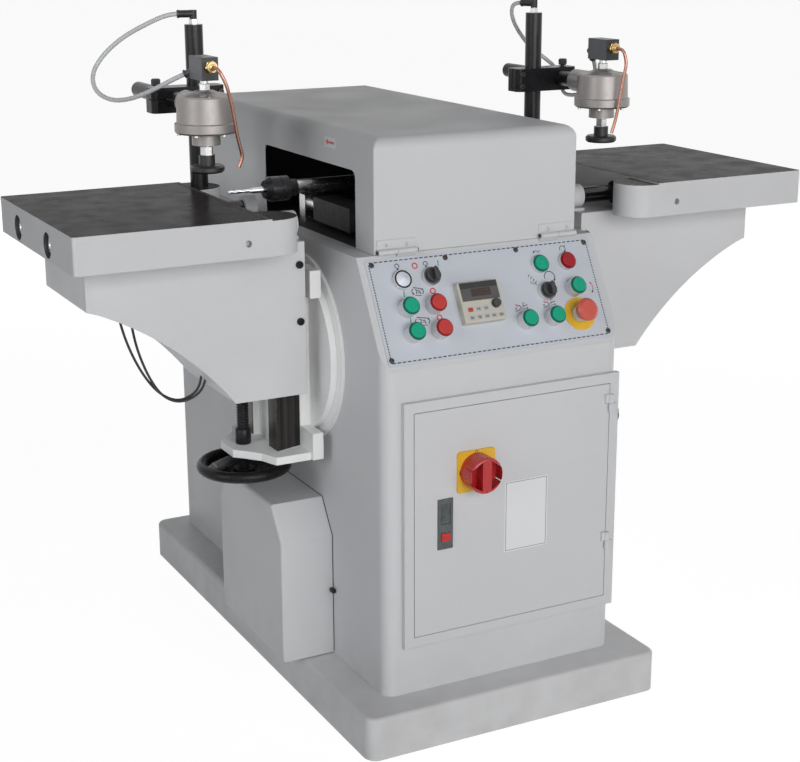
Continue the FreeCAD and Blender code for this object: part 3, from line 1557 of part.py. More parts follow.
def table(label):
    body = new_body(label)
    ledge = size.table_ledge
    plan = new_sketch(body, "XY_Plane", "plan", table_foot)
    rectangle(plan, ledge, size.table_outer, -size.table_front, size.table_back)
    slab = pad(body, plan, size.table_thickness)
    dress(body, "Fillet", slab, size.table_corner,
          lambda edge: runs_along(edge, Z_AXIS) and close(middle_of(edge).x, size.table_outer))
    for name, y in (("front_lobe", front_lobe_y), ("back_lobe", back_lobe_y)):
        lobe = new_sketch(body, "XY_Plane", name, table_foot)
        circle(lobe, size.lobe_out, y, size.lobe_radius)
        pad(body, lobe, size.table_thickness - size.lobe_step)
        neck = new_sketch(body, "XY_Plane", f"{name}_neck", table_foot)
        rectangle(neck, size.lobe_out, ledge + size.table_rib_wall, y - size.lobe_radius, y + size.lobe_radius)
        pad(body, neck, size.table_thickness - size.lobe_step)
    # The guide bars run through the slab, in wider mouths at both ends.
    bars = (-size.bar_front, -size.bar_behind)
    bores = new_sketch(body, "YZ_Plane", "bores", size.lobe_out - size.lobe_radius)
    for y in bars:
        circle(bores, y, bar_height, size.bar_radius + size.running_gap)
    pocket(body, bores, size.table_outer, reverse=True)
    for name, out in (("inner_mouths", ledge), ("outer_mouths", size.table_outer - size.table_bore_depth)):
        mouths = new_sketch(body, "YZ_Plane", name, out)
        for y in bars:
            circle(mouths, y, bar_height, size.table_bore)
        pocket(body, mouths, size.table_bore_depth, reverse=True)
    post_bore = new_sketch(body, "XY_Plane", "post_bore", table_foot)
    circle(post_bore, size.post_out, size.post_behind, size.post_radius + size.running_gap)
    pocket(body, post_bore, size.table_thickness + size.cut_over, reverse=True)
    # Lightening hollow underneath, between the two bars.
    hollow = new_sketch(body, "XY_Plane", "hollow", table_foot)
    rib = size.table_rib_wall + size.bar_radius
    rectangle(hollow, ledge + size.table_rib_wall, size.table_outer - size.table_rib_wall,
              -size.bar_front + rib, -size.bar_behind - rib)
    pocket(body, hollow, size.table_hollow, reverse=True)
    hole = new_sketch(body, "XZ_Plane", "hole", size.table_front)
    circle(hole, size.table_hole_out, bar_height, size.table_hole_radius)
    pocket(body, hole, size.table_hole_depth)
    return body


# Clamp on each table


def hexagon(name, x, y, z, radius, height):
    prism = document.addObject("Part::Prism", name)
    prism.Polygon = HEXAGON_CORNERS
    bind(prism, Circumradius=radius, Height=height)
    return locate(prism, x, y, z)


POST_ELBOWS = {"left": FreeCAD.Vector(-1, 0.25, 0), "right": FreeCAD.Vector(-0.5, 0.87, 0)}


def clamp_arm(label):
    body = new_body(label)
    middle = size.post_behind
    half = size.arm_half_depth
    low = arm_middle - size.arm_height / 2
    plan = new_sketch(body, "XY_Plane", "plan", low)
    rectangle(plan, size.arm_inner, size.arm_outer, middle - half, middle + half)
    block = pad(body, plan, size.arm_height)
    dress(body, "Fillet", block, size.arm_corner, lambda edge: runs_along(edge, Z_AXIS))
    post = new_sketch(body, "XY_Plane", "post", low)
    circle(post, size.post_out, middle, size.post_radius + size.running_gap)
    pocket(body, post, size.arm_height + size.cut_over, reverse=True)
    cross = new_sketch(body, "XZ_Plane", "cross", -middle)
    circle(cross, size.cross_out, cross_height, size.cross_radius + size.running_gap)
    pocket(body, cross, (half + size.cut_over) * 2, side="Symmetric")
    # Slits let the block grip the post and the bar when its screws are drawn tight.
    slit = new_sketch(body, "XZ_Plane", "post_slit", -middle)
    rectangle(slit, size.arm_inner - size.cut_over, size.post_out,
              low - size.cut_over, low + size.arm_height + size.cut_over)
    pocket(body, slit, size.arm_slit, side="Symmetric")
    bar_slit = new_sketch(body, "XZ_Plane", "bar_slit", -middle)
    half_slit = size.arm_slit / 2
    rectangle(bar_slit, size.cross_out, size.arm_outer + size.cut_over,
              cross_height - half_slit, cross_height + half_slit)
    pocket(body, bar_slit, (half + size.cut_over) * 2, side="Symmetric")
    return body


def cross_bars():
    start = cylinder_y + size.cross_seat
    for side, sign in (("right", 1), ("left", -1)):
        bar = rod(f"{side}_cross_bar", size.cross_out * sign, start, cross_height, size.cross_radius,
                  size.cross_back - start, "Y")
        register(bar, f"{side}_cross_bar")


def air_cylinder(label):
    """Turned diaphragm housing with a lug behind that grips the cross bar."""
    body = new_body(label)
    neck_foot = flange_foot - size.cylinder_neck_height
    flange_top = flange_foot + size.cylinder_flange_height
    body_top = flange_top + size.cylinder_body_height
    crown = body_top + size.cylinder_top_height
    radius = size.cylinder_body_radius
    lip = size.pad_edge
    section = new_sketch(body, "XZ_Plane", "section")
    neck = size.cylinder_neck_radius
    flange = size.cylinder_flange_radius
    shoulder, head = [radius * share for share in CYLINDER_TAPER_SHARES]
    outline(section, [(ZERO, neck_foot), (neck, neck_foot), (neck, flange_foot - lip), (neck + lip, flange_foot),
                      (flange - lip, flange_foot), (flange, flange_foot + lip), (flange, flange_top - lip / 2),
                      (radius, flange_top), (shoulder, body_top - lip), (head, body_top),
                      (size.cylinder_crown_radius * CROWN_FOOT_SHARE, crown - size.cylinder_crown_height),
                      (size.cylinder_crown_radius, crown), (ZERO, crown)])
    revolve(body, section)
    lug = new_sketch(body, "XZ_Plane", "lug")
    circle(lug, ZERO, cross_height, size.cylinder_lug_radius)
    pad(body, lug, size.cylinder_lug_reach, reverse=True)
    seat = new_sketch(body, "XZ_Plane", "seat", -size.cylinder_lug_reach)
    circle(seat, ZERO, cross_height, size.cross_radius + size.running_gap)
    pocket(body, seat, size.cylinder_lug_reach - size.cross_seat, reverse=True)
    bore = new_sketch(body, "XY_Plane", "bore", neck_foot)
    circle(bore, ZERO, ZERO, size.plunger_radius + size.slide_gap)
    pocket(body, bore, size.plunger_engaged + size.pad_thickness, reverse=True)
    return locate(body, size.cross_out, cylinder_y, ZERO)


def plunger(label):
    body = new_body(label)
    neck_foot = flange_foot - size.cylinder_neck_height
    nut_top = neck_foot - size.plunger_gap
    nut_foot = nut_top - size.plunger_nut_height
    pad_top = nut_foot - size.plunger_collar_height
    pad_foot = pad_top - size.pad_thickness
    section = new_sketch(body, "XZ_Plane", "section")
    edge = size.pad_edge
    rim = size.pad_radius
    collar = size.plunger_collar_radius
    top = neck_foot + size.plunger_engaged
    outline(section, [(ZERO, pad_foot), (rim - edge, pad_foot), (rim, pad_foot + edge), (rim, pad_top - edge),
                      (rim - edge, pad_top), (collar, pad_top), (collar, nut_foot),
                      (size.plunger_radius, nut_foot), (size.plunger_radius, top), (ZERO, top)])
    revolve(body, section)
    nut = new_sketch(body, "XY_Plane", "nut", nut_foot)
    turns = [math.tau * k / HEXAGON_CORNERS for k in range(HEXAGON_CORNERS)]
    outline(nut, [(size.plunger_nut_radius * math.cos(turn), size.plunger_nut_radius * math.sin(turn))
                  for turn in turns])
    pad(body, nut, size.plunger_nut_height)
    return locate(body, size.cross_out, cylinder_y, ZERO)


def route_wire(points):
    """Straight runs joined by tangent arcs, each as large as its two runs allow."""
    edges = []
    radii = []
    last = points[0]
    for before, corner, after in zip(points, points[1:], points[2:]):
        arriving = (before - corner).normalize()
        leaving = (after - corner).normalize()
        opening = arriving.getAngle(leaving)
        short = min((before - corner).Length, (after - corner).Length)
        setback = short * BEND_SETBACK_SHARE
        radius = setback * math.tan(opening / 2)
        radii.append(radius)
        start = corner + arriving * setback
        end = corner + leaving * setback
        bisector = (arriving + leaving).normalize()
        centre = corner + bisector * math.hypot(setback, radius)
        crown = centre - bisector * radius
        edges.append(Part.LineSegment(last, start).toShape())
        edges.append(Part.Arc(start, crown, end).toShape())
        last = end
    edges.append(Part.LineSegment(last, points[-1]).toShape())
    return Part.Wire(edges), radii


def tube(name, points, radius):
    """A round tube along a route, checked against its section times its length."""
    wire, radii = route_wire(points)
    along = (points[1] - points[0]).normalize()
    section = Part.Wire(Part.Circle(points[0], along, radius.value).toShape())
    shape = wire.makePipeShell([section], True, False)
    share = shape.Volume / (math.pi * radius.value ** 2 * wire.Length)
    bends = [round(bend) for bend in radii]
    print(f"{name}: length {wire.Length:.1f}, volume share {share:.4f}, bends {bends}")
    pipe = document.addObject("Part::Feature", name)
    pipe.Shape = shape
    return pipe


# Copper pipes blow chips off the work; each is bent by hand, in steps from the brass fitting's face.
BLOW_PIPE_STEPS = {
    "left": [(0, 0, 0), (2, -20.5, -1.4), (13, -25.5, -25.4), (23, -22.5, -61.4), (33, -17.5, -115),
             (42, -15.5, -147), (34, -15, -164)],
    "right": [(0, 0, 0), (3, -19.5, -1.4), (8, -23.5, -25.4), (2, -20.5, -61.4), (-4, -17.5, -108),
              (-8, -15.5, -132), (-15, -14.5, -154)],
}
# The valve's elbow behind the block points towards the hose that comes from the post.
VALVE_ELBOWS = {"left": FreeCAD.Vector(-0.85, 0.35, -0.39), "right": FreeCAD.Vector(0.5, 0.3, -0.81)}


def aimed_rod(name, x, y, z, direction, radius, length):
    bar = document.addObject("Part::Cylinder", name)
    bar.Placement.Rotation = FreeCAD.Rotation(Z_AXIS, direction)
    bind(bar, Radius=radius, Height=length)
    return locate(bar, x, y, z)


def clamp_posts():
    foot = table_foot + size.slide_gap
    for side, sign in (("right", 1), ("left", -1)):
        x = size.post_out * sign
        y = size.post_behind
        post = rod(f"{side}_post_bar", x, y, foot, size.post_radius, post_top - foot)
        nut = hexagon(f"{side}_post_nut", x, y, post_top, size.fitting_hex, size.fitting_height)
        elbow_foot = post_top + size.fitting_height
        riser = rod(f"{side}_elbow_riser", x, y, elbow_foot, size.elbow_radius,
                    size.elbow_height + size.elbow_radius)
        arm = aimed_rod(f"{side}_elbow_arm", x, y, elbow_foot + size.elbow_height, POST_ELBOWS[side],
                        size.elbow_radius, size.elbow_reach)
        register(fuse(f"{side}_clamp_post_whole", post, nut, riser, arm), f"{side}_clamp_post")


def blow_valves():
    """Valve block on its stem, with the brass fitting and the copper blow pipe."""
    back = cylinder_y + size.valve_depth / 2
    face = cylinder_y - size.valve_depth / 2
    port = valve_foot + size.valve_port_height
    mouth_height = valve_foot + size.valve_height * PIPE_HEIGHT_SHARE
    for side, sign in (("right", 1), ("left", -1)):
        x = size.cross_out * sign
        stem = rod(f"{side}_valve_stem", x, cylinder_y, valve_foot - size.valve_stem_height,
                   size.valve_stem_radius, size.valve_stem_height)
        block = box(f"{side}_valve_box", x - size.valve_width / 2, face, valve_foot,
                    size.valve_width, size.valve_depth, size.valve_height)
        inlet = rod(f"{side}_valve_inlet", x, back, port, size.valve_elbow_radius,
                    size.valve_elbow_length + size.valve_elbow_radius, "Y")
        elbow = aimed_rod(f"{side}_valve_elbow", x, back + size.valve_elbow_length, port, VALVE_ELBOWS[side],
                          size.valve_elbow_radius, size.valve_elbow_reach)
        valve = fuse(f"{side}_valve_body", stem, block, inlet, elbow)
        brass = rod(f"{side}_brass_fitting", x, face - size.brass_length, mouth_height,
                    size.brass_radius, size.brass_length, "Y")
        mouth = FreeCAD.Vector(x.value, (face - size.brass_length).value, mouth_height.value)
        steps = [mouth + FreeCAD.Vector(*step) * unit for step in BLOW_PIPE_STEPS[side]]
        pipe = tube(f"{side}_blow_pipe", steps, size.pipe_radius)
        group(f"{side}_blow_valve", [valve, brass, pipe])


# Points of the free hoses and cables between their two fittings, as chosen along the real hose.
HOSE_POINTS = {
    "left": [(-428, 50, 1183), (-465, 68, 1161), (-498, 78, 1132), (-521, 76, 1100),
             (-522, 56, 1071), (-503, 24, 1057), (-480, -20, 1064), (-456, -62, 1082)],
    "right": [(331, 74, 1184), (343, 84, 1162), (361, 88, 1138), (384, 87, 1112),
              (410, 79, 1092), (433, 68, 1072), (441, 61, 1048), (436, 43, 1024), (429, 18, 1021),
              (426, -14, 1023), (427, -46, 1031), (428, -70, 1052), (424, -86, 1074)],
}
CABLE_POINTS = {
    "outer": [(-568, -154, 725), (-563, -154, 698), (-549, -154, 654), (-528, -154, 610), (-502, -154, 575),
              (-470, -154, 557), (-440, -154, 565), (-426, -154, 584), (-424, -154, 603)],
    "inner": [(-548, -160, 712), (-545, -160, 686), (-536, -160, 648), (-520, -160, 606), (-499, -160, 572),
              (-470, -160, 556), (-438, -160, 563), (-421, -160, 582), (-418, -160, 600)],
}


def air_hoses():
    back = cylinder_y + size.valve_depth / 2 + size.valve_elbow_length
    port = valve_foot + size.valve_port_height
    elbow_height = post_top + size.fitting_height + size.elbow_height
    for side, sign in (("right", 1), ("left", -1)):
        post = FreeCAD.Vector(size.post_out.value * sign, size.post_behind.value, elbow_height.value)
        valve = FreeCAD.Vector(size.cross_out.value * sign, back.value, port.value)
        post_way = FreeCAD.Vector(POST_ELBOWS[side]).normalize()
        valve_way = FreeCAD.Vector(VALVE_ELBOWS[side]).normalize()
        start = post + post_way * size.elbow_reach.value
        end = valve + valve_way * size.valve_elbow_reach.value
        lead = size.hose_lead.value
        points = [start, start + post_way * lead]
        points += [FreeCAD.Vector(*spot) * unit for spot in HOSE_POINTS[side]]
        points += [end + valve_way * lead, end]
        register(tube(f"{side}_air_hose", points, size.hose_radius), f"{side}_air_hose")


def knee_cables():
    """Two cables that hang in one loop under the left knee."""
    cables = [tube(f"{name}_knee_cable", [FreeCAD.Vector(*spot) * unit for spot in spots], size.cable_radius)
              for name, spots in CABLE_POINTS.items()]
    group("left_knee_cables", cables)


def main():
    base_plinth()
    column_casing()
    cabinet_door()
    switch_plate()
    main_switch_knob()
    door_latch()
    latch_button()
    control_panel()
    button_collars()
    push_caps()
    stop_button()
    selector_knobs()
    display_unit()
    speed_knob()
    belt_cover()
    spindle_hood()
    slide_rods()
    spindle_carriage()
    spindle_motor()
    spindle_shaft()
    mortising_bit()
    crank_wheel()
    oscillation_gearbox()
    swivel_rings()
    pair(slide_way, "slide_way")
    pair(lead_screw, "lead_screw")
    pair(handwheel, "handwheel")
    pair(knee, "knee")
    guide_bars()
    pair(table, "table")
    clamp_posts()
    pair(clamp_arm, "clamp_arm")
    cross_bars()
    pair(air_cylinder, "air_cylinder")
    pair(plunger, "plunger")
    blow_valves()
    air_hoses()
    knee_cables()
    document.recompute()
    write_pieces()


def write_pieces():
    """Checks every object of the document, then writes one file for each piece."""
    failed = [thing.Label for thing in document.Objects if {"Invalid", "Error"} & set(thing.State)]
    if failed:
        raise RuntimeError(f"did not build: {failed}")
    broken = [piece.Label for piece in PIECES if piece.Shape.isNull() or not piece.Shape.isValid()]
    if broken:
        raise RuntimeError(f"no valid shape: {broken}")
    os.makedirs("parts", exist_ok=True)
    for piece in PIECES:
        piece.Shape.exportStep(os.path.join("parts", f"{piece.Label}.step"))
    print(f"{len(PIECES)} pieces written")


main()
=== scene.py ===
from math import atan2, copysign, cos, hypot, pi, radians, sin, tau

import bmesh
import bpy
from mathutils import Matrix, Vector


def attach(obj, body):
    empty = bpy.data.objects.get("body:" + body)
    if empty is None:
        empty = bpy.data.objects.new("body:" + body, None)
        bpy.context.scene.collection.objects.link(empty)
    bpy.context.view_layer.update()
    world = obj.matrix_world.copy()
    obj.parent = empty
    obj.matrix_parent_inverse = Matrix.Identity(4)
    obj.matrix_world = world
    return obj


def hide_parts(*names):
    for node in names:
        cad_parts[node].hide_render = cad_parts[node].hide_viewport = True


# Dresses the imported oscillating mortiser. Shapes are written in millimetres and made in metres.

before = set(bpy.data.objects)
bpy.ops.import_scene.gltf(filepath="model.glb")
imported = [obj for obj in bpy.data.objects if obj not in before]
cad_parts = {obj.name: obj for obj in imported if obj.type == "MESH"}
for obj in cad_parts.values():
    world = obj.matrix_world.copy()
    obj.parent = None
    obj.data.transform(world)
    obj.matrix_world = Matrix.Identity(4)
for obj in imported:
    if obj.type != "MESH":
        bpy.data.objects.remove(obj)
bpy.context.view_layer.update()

MM = 0.001
SIDES = (("left", -1), ("right", 1))
X, Y, Z = Vector((1, 0, 0)), Vector((0, 1, 0)), Vector((0, 0, 1))
UNMOVED = Matrix.Identity(4)

# Heights and places shared with the CAD source, in millimetres.
WALL_OUT = 230
COLUMN_BACK = 505
DOOR_FACE_Y = -480
DECK = 826
HOOD_WALL = 196
HOOD_FRONT_Y = -374.5
HINGE_Y, HINGE_Z = -379.4, 831.4
SPINDLE = Vector((0, -157, 913))
KNEE_FRONT_Y = -272.5
WAY_Y = -158
WHEEL_HEIGHT = 425
SCREW_OUT = 352
POST = (350, 20)
CROSS_OUT = 398
CYLINDER_Y = -150
CYLINDER_CROWN = 1085.6
VALVE_FOOT = 1103.6
ARM_TOP = 1077.6
POST_TOP = 1182.6
TABLE_TOP = 902.1
LOBE_TOP = 899.6

# The control slope: its foot (y, z), its angle, and how far the panel stands above it.
SLOPE_ANGLE = atan2(174, 97)
SLOPE_FOOT = (-470, 652)
SLOPE = Matrix.Translation((0, *SLOPE_FOOT)) @ Matrix.Rotation(SLOPE_ANGLE, 4, "X")
PANEL_FACE = 2

# Camera, fitted to the photograph
CAMERA_PLACE = Vector((-1360.7, -2706.9, 1358.8))
CAMERA_YAW, CAMERA_PITCH, CAMERA_ROLL = 0.4786097, 0.2788588, -0.0038687
CAMERA_LENS = 72.68
CAMERA_SENSOR = 36
CAMERA_REACH = 100


def add_camera():
    ahead = Vector((sin(CAMERA_YAW), cos(CAMERA_YAW), 0))
    forward = ahead * cos(CAMERA_PITCH) - Z * sin(CAMERA_PITCH)
    level = Vector((cos(CAMERA_YAW), -sin(CAMERA_YAW), 0))
    upright = level.cross(forward)
    right = level * cos(CAMERA_ROLL) + upright * sin(CAMERA_ROLL)
    up = upright * cos(CAMERA_ROLL) - level * sin(CAMERA_ROLL)
    data = bpy.data.cameras.new("camera")
    data.sensor_width = CAMERA_SENSOR
    data.lens = CAMERA_LENS
    data.clip_end = CAMERA_REACH
    camera = new_object("camera", data)
    camera.matrix_world = framed(right, up, -forward, CAMERA_PLACE * MM)
    bpy.context.scene.camera = camera


def new_object(name, data):
    made = bpy.data.objects.new(name, data)
    bpy.context.scene.collection.objects.link(made)
    return made


def framed(across, up, out, origin=(0, 0, 0)):
    """A frame of three axes: outlines lie across and up, and their depth goes out."""
    return Matrix.Translation(Vector(origin)) @ Matrix((across, up, out)).transposed().to_4x4()


add_camera()

# Hoses and cables: each runs through the same points as its solid in the source.
HOSE_RADIUS = 4
CABLE_RADIUS = 2.2
POST_ELBOWS = {"left": Vector((-1, 0.25, 0)).normalized(), "right": Vector((-0.5, 0.87, 0)).normalized()}
VALVE_ELBOWS = {"left": Vector((-0.85, 0.35, -0.39)).normalized(),
                "right": Vector((0.5, 0.3, -0.81)).normalized()}
POST_ELBOW_MIDDLE = Vector((POST[0], POST[1], POST_TOP + 18))
POST_ELBOW_REACH = 26
VALVE_ELBOW_MIDDLE = Vector((CROSS_OUT, -108.5, VALVE_FOOT + 13))
VALVE_ELBOW_REACH = 18
HOSE_LEAD = 18
HOSE_POINTS = {
    "left": [(-428, 50, 1183), (-465, 68, 1161), (-498, 78, 1132), (-521, 76, 1100),
             (-522, 56, 1071), (-503, 24, 1057), (-480, -20, 1064), (-456, -62, 1082)],
    "right": [(331, 74, 1184), (343, 84, 1162), (361, 88, 1138), (384, 87, 1112),
              (410, 79, 1092), (433, 68, 1072), (441, 61, 1048), (436, 43, 1024), (429, 18, 1021),
              (426, -14, 1023), (427, -46, 1031), (428, -70, 1052), (424, -86, 1074)],
}
CABLE_POINTS = {
    "outer": [(x, -154, z) for x, z in ((-568, 725), (-563, 698), (-549, 654), (-528, 610), (-502, 575),
                                        (-470, 557), (-440, 565), (-426, 584), (-424, 603))],
    "inner": [(x, -160, z) for x, z in ((-548, 712), (-545, 686), (-536, 648), (-520, 606), (-499, 572),
                                        (-470, 556), (-438, 563), (-421, 582), (-418, 600))],
}


def on_side(point, sign):
    return Vector((point[0] * sign, point[1], point[2]))


def cord_curve(name, points, radius, body, look):
    """A round cord along a smooth curve with the points as its control points."""
    data = bpy.data.curves.new(name, "CURVE")
    data.dimensions = "3D"
    data.bevel_depth = radius * MM
    data.bevel_resolution = 8
    data.resolution_u = 20
    data.use_fill_caps = True
    spline = data.splines.new("NURBS")
    spline.points.add(len(points) - 1)
    for knot, place in zip(spline.points, points):
        knot.co = (*(Vector(place) * MM), 1)
    spline.order_u = 3
    spline.use_endpoint_u = True
    data.materials.append(look)
    curve = new_object(name, data)
    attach(curve, body)
    return curve


def hose_ends(side, sign):
    """The mouth and direction of the elbow on the post, then of the one on the valve."""
    return [(on_side(middle, sign) + ways[side] * reach, ways[side])
            for middle, ways, reach in ((POST_ELBOW_MIDDLE, POST_ELBOWS, POST_ELBOW_REACH),
                                        (VALVE_ELBOW_MIDDLE, VALVE_ELBOWS, VALVE_ELBOW_REACH))]


def hose_route(side, sign):
    (start, way_out), (end, way_back) = hose_ends(side, sign)
    return [start, start + way_out * HOSE_LEAD, *HOSE_POINTS[side], end + way_back * HOSE_LEAD, end]


# Materials, worked in rest coordinates

# A mix node's two inputs and its output, for colours and for numbers.
MIX_SOCKETS = {"RGBA": (6, 7, 2), "FLOAT": (2, 3, 0)}


class Nodes:
    """Adds to the node tree of a material or of the world."""

    def __init__(self, owner):
        owner.use_nodes = True
        self.tree = owner.node_tree

    def add(self, kind, **values):
        node = self.tree.nodes.new("ShaderNode" + kind)
        for key, value in values.items():
            setattr(node, key, value)
        return node

    def feed(self, socket, value):
        if isinstance(value, bpy.types.NodeSocket):
            self.tree.links.new(value, socket)
        else:
            socket.default_value = value

    def math(self, operation, first, second=0.0):
        node = self.add("Math", operation=operation)
        self.feed(node.inputs[0], first)
        self.feed(node.inputs[1], second)
        return node.outputs[0]


class LookNodes(Nodes):
    """Builds one material's node tree."""

    def __init__(self, material):
        super().__init__(material)
        self.rest = self.add("TexCoord")
        self.place = self.rest.outputs["Object"]
        self.split = None

    def vector(self, operation, first, second):
        node = self.add("VectorMath", operation=operation)
        self.feed(node.inputs[0], first)
        self.feed(node.inputs[1], second)
        return node

    def mix(self, factor, first, second, kind="RGBA"):
        node = self.add("Mix", data_type=kind)
        from_socket, to_socket, out = MIX_SOCKETS[kind]
        self.feed(node.inputs["Factor"], factor)
        self.feed(node.inputs[from_socket], first)
        self.feed(node.inputs[to_socket], second)
        return node.outputs[out]

    def noise(self, scale, detail=3.0, stretch=(1, 1, 1)):
        spot = self.place
        if tuple(stretch) != (1, 1, 1):
            mapping = self.add("Mapping")
            mapping.inputs["Scale"].default_value = stretch
            self.feed(mapping.inputs["Vector"], spot)
            spot = mapping.outputs[0]
        node = self.add("TexNoise")
        node.inputs["Scale"].default_value = scale
        node.inputs["Detail"].default_value = detail
        self.feed(node.inputs["Vector"], spot)
        return node.outputs["Fac"]

    def ramp(self, value, low, high, out_low=0.0, out_high=1.0):
        node = self.add("MapRange")
        for index, number in enumerate((low, high, out_low, out_high), start=1):
            node.inputs[index].default_value = number
        self.feed(node.inputs[0], value)
        return node.outputs[0]

    def axis(self, name):
        """A coordinate of the surface in millimetres, or a part of its normal, both as at rest."""
        if name.startswith("n"):
            parts = self.add("SeparateXYZ")
            self.feed(parts.inputs[0], self.rest.outputs["Normal"])
            return parts.outputs["XYZ".index(name[1].upper())]
        if self.split is None:
            parts = self.add("SeparateXYZ")
            self.feed(parts.inputs[0], self.place)
            self.split = [self.math("MULTIPLY", socket, 1 / MM) for socket in parts.outputs]
        if name == "ax":
            return self.math("ABSOLUTE", self.split[0])
        if name == "slope":
            back = self.math("ADD", self.split[1], -SLOPE_FOOT[0])
            rise = self.math("ADD", self.split[2], -SLOPE_FOOT[1])
            return self.math("ADD", self.math("MULTIPLY", back, cos(SLOPE_ANGLE)),
                             self.math("MULTIPLY", rise, sin(SLOPE_ANGLE)))
        return self.split["xyz".index(name)]

    def facing(self, centre):
        """1 where the surface looks toward a place given in millimetres, 0 elsewhere."""
        way = self.vector("SUBTRACT", Vector(centre) * MM, self.place)
        turn = self.vector("DOT_PRODUCT", way.outputs[0], self.rest.outputs["Normal"])
        return self.math("GREATER_THAN", turn.outputs["Value"], 0.0)

    def inside(self, limits, centre):
        """1 inside the limits of every axis and facing the centre if one is given, 0 elsewhere."""
        result = self.facing(centre) if centre else None
        for name, (low, high) in limits.items():
            value = self.axis(name)
            both = self.math("MULTIPLY", self.math("GREATER_THAN", value, low),
                             self.math("LESS_THAN", value, high))
            result = both if result is None else self.math("MULTIPLY", result, both)
        return result


def area(colour, rough, metal=0.0, streak=None, scale=9.0, stretch=(1, 0.12, 1), centre=None, **limits):
    """A part of a surface with its own paint, bounded by limits on axes; streaks of a second colour may run
    over it. Some areas are painted shade, painted highlight or painted sheen."""
    return {"colour": colour, "rough": rough, "metal": metal, "streak": streak, "scale": scale,
            "stretch": stretch, "centre": centre, "limits": limits}


DUST = (0.33, 0.3, 0.26)
DUST_HEIGHT = 190.0
looks = {}


def finish(name, colour, rough, metal=0.0, mottle=0.05, patch=9.0, grain=900.0, relief=0.06, depth=0.00008,
           rounded=0.0012, wear=None, wear_share=0.5, dust=0.0, stretch=(1, 1, 1), areas=(), shine=0.5,
           coat=0.0):
    """One finish: uneven colour and gloss, fine relief, softened and worn edges, and painted areas, some of
    them painted shade, highlight or sheen.
    """
    material = bpy.data.materials.new(name)
    nodes = LookNodes(material)
    shade = nodes.ramp(nodes.noise(patch, 4.0, stretch), 0.3, 0.7, 1 - mottle, 1 + mottle)
    fine = nodes.noise(grain, 2.0, stretch)
    smear = nodes.ramp(nodes.noise(patch * 3.7, 5.0, stretch), 0.35, 0.7, -0.05, 0.06)
    tint = (*colour, 1)
    gloss = rough
    metallic = metal
    for part in areas:
        inside = nodes.inside(part["limits"], part["centre"])
        paint = (*part["colour"], 1)
        if part["streak"]:
            lines = nodes.ramp(nodes.noise(part["scale"], 3.0, part["stretch"]), 0.38, 0.62)
            paint = nodes.mix(lines, paint, (*part["streak"], 1))
        tint = nodes.mix(inside, tint, paint)
        gloss = nodes.mix(inside, gloss, part["rough"], "FLOAT")
        metallic = nodes.mix(inside, metallic, part["metal"], "FLOAT")
    # Uneven tone: the colour times the blotches, with a little of the fine grain.
    tone = nodes.math("MULTIPLY", shade, nodes.ramp(fine, 0.3, 0.7, 1 - mottle * 0.5, 1 + mottle * 0.5))
    toned = nodes.add("VectorMath", operation="SCALE")
    nodes.feed(toned.inputs[0], tint if areas else colour)
    nodes.feed(toned.inputs["Scale"], tone)
    tint = toned.outputs[0]
    bump = nodes.add("Bump")
    bump.inputs["Strength"].default_value = relief
    bump.inputs["Distance"].default_value = depth
    nodes.feed(bump.inputs["Height"], fine)
    if rounded:
        bevel = nodes.add("Bevel", samples=4)
        bevel.inputs["Radius"].default_value = rounded
        nodes.feed(bump.inputs["Normal"], bevel.outputs[0])
        if wear:
            # Where the softened normal leaves the true one there is an edge, and handling wears it.
            true_normal = nodes.add("NewGeometry").outputs["Normal"]
            turn = nodes.vector("DOT_PRODUCT", bevel.outputs[0], true_normal)
            edge = nodes.ramp(turn.outputs["Value"], 0.995, 0.93)
            chips = nodes.ramp(nodes.noise(160.0, 6.0), 0.45, 0.62)
            worn = nodes.math("MULTIPLY", nodes.math("MULTIPLY", edge, chips), wear_share)
            tint = nodes.mix(worn, tint, (*wear, 1))
    if dust:
        low = nodes.ramp(nodes.axis("z"), DUST_HEIGHT, 0.0)
        clouds = nodes.ramp(nodes.noise(22.0, 6.0), 0.35, 0.75)
        film = nodes.math("MULTIPLY", nodes.math("MULTIPLY", low, clouds), dust)
        tint = nodes.mix(film, tint, (*DUST, 1))
    shader = nodes.tree.nodes["Principled BSDF"]
    for socket, value in (("Base Color", tint), ("Roughness", nodes.math("ADD", gloss, smear)),
                          ("Metallic", metallic), ("Normal", bump.outputs[0]), ("Specular IOR Level", shine),
                          ("Coat Weight", coat)):
        nodes.feed(shader.inputs[socket], value)
    looks[name] = material


PAINT = (0.594, 0.598, 0.61)
CASTING = (0.6, 0.602, 0.61)
PALE_CASTING = (0.84, 0.84, 0.835)
# Near black, for black parts and for the painted shade inside the hood.
DARK_INSIDE = (0.012, 0.012, 0.013)
# A darker grey, the painted shade on the column cabinet's inner walls.
CABINET_SHADE = (0.35, 0.35, 0.36)
IRON = (0.04, 0.035, 0.033)
# A lighter streak colour, a painted sheen on the ground table tops.
IRON_SHEEN = (0.066, 0.06, 0.058)
IRON_DARK = (0.026, 0.023, 0.022)
STEEL = (0.55, 0.55, 0.56)
ZINC = (0.66, 0.66, 0.65)
BLACK_STEEL = (0.015, 0.015, 0.017)
BLACK = (0.018, 0.018, 0.02)
CHIP = (0.42, 0.42, 0.43)
ALUMINIUM = (0.3, 0.281, 0.272)
BRASS = (0.56, 0.41, 0.2)
COPPER = (0.34, 0.17, 0.125)
RIM_GREEN, RIM_RED, RIM_GREY = (0.0, 0.1, 0.06), (0.22, 0.012, 0.012), (0.12, 0.12, 0.125)

HOOD_MIDDLE = (0, 30, 900)
CABINET_MIDDLE = (0, 20, 420)
UPWARD = (0.7, 2)
TOP_SKIN = (TABLE_TOP - 0.6, 2000)
WAY_HEIGHTS = (465.4, 741)
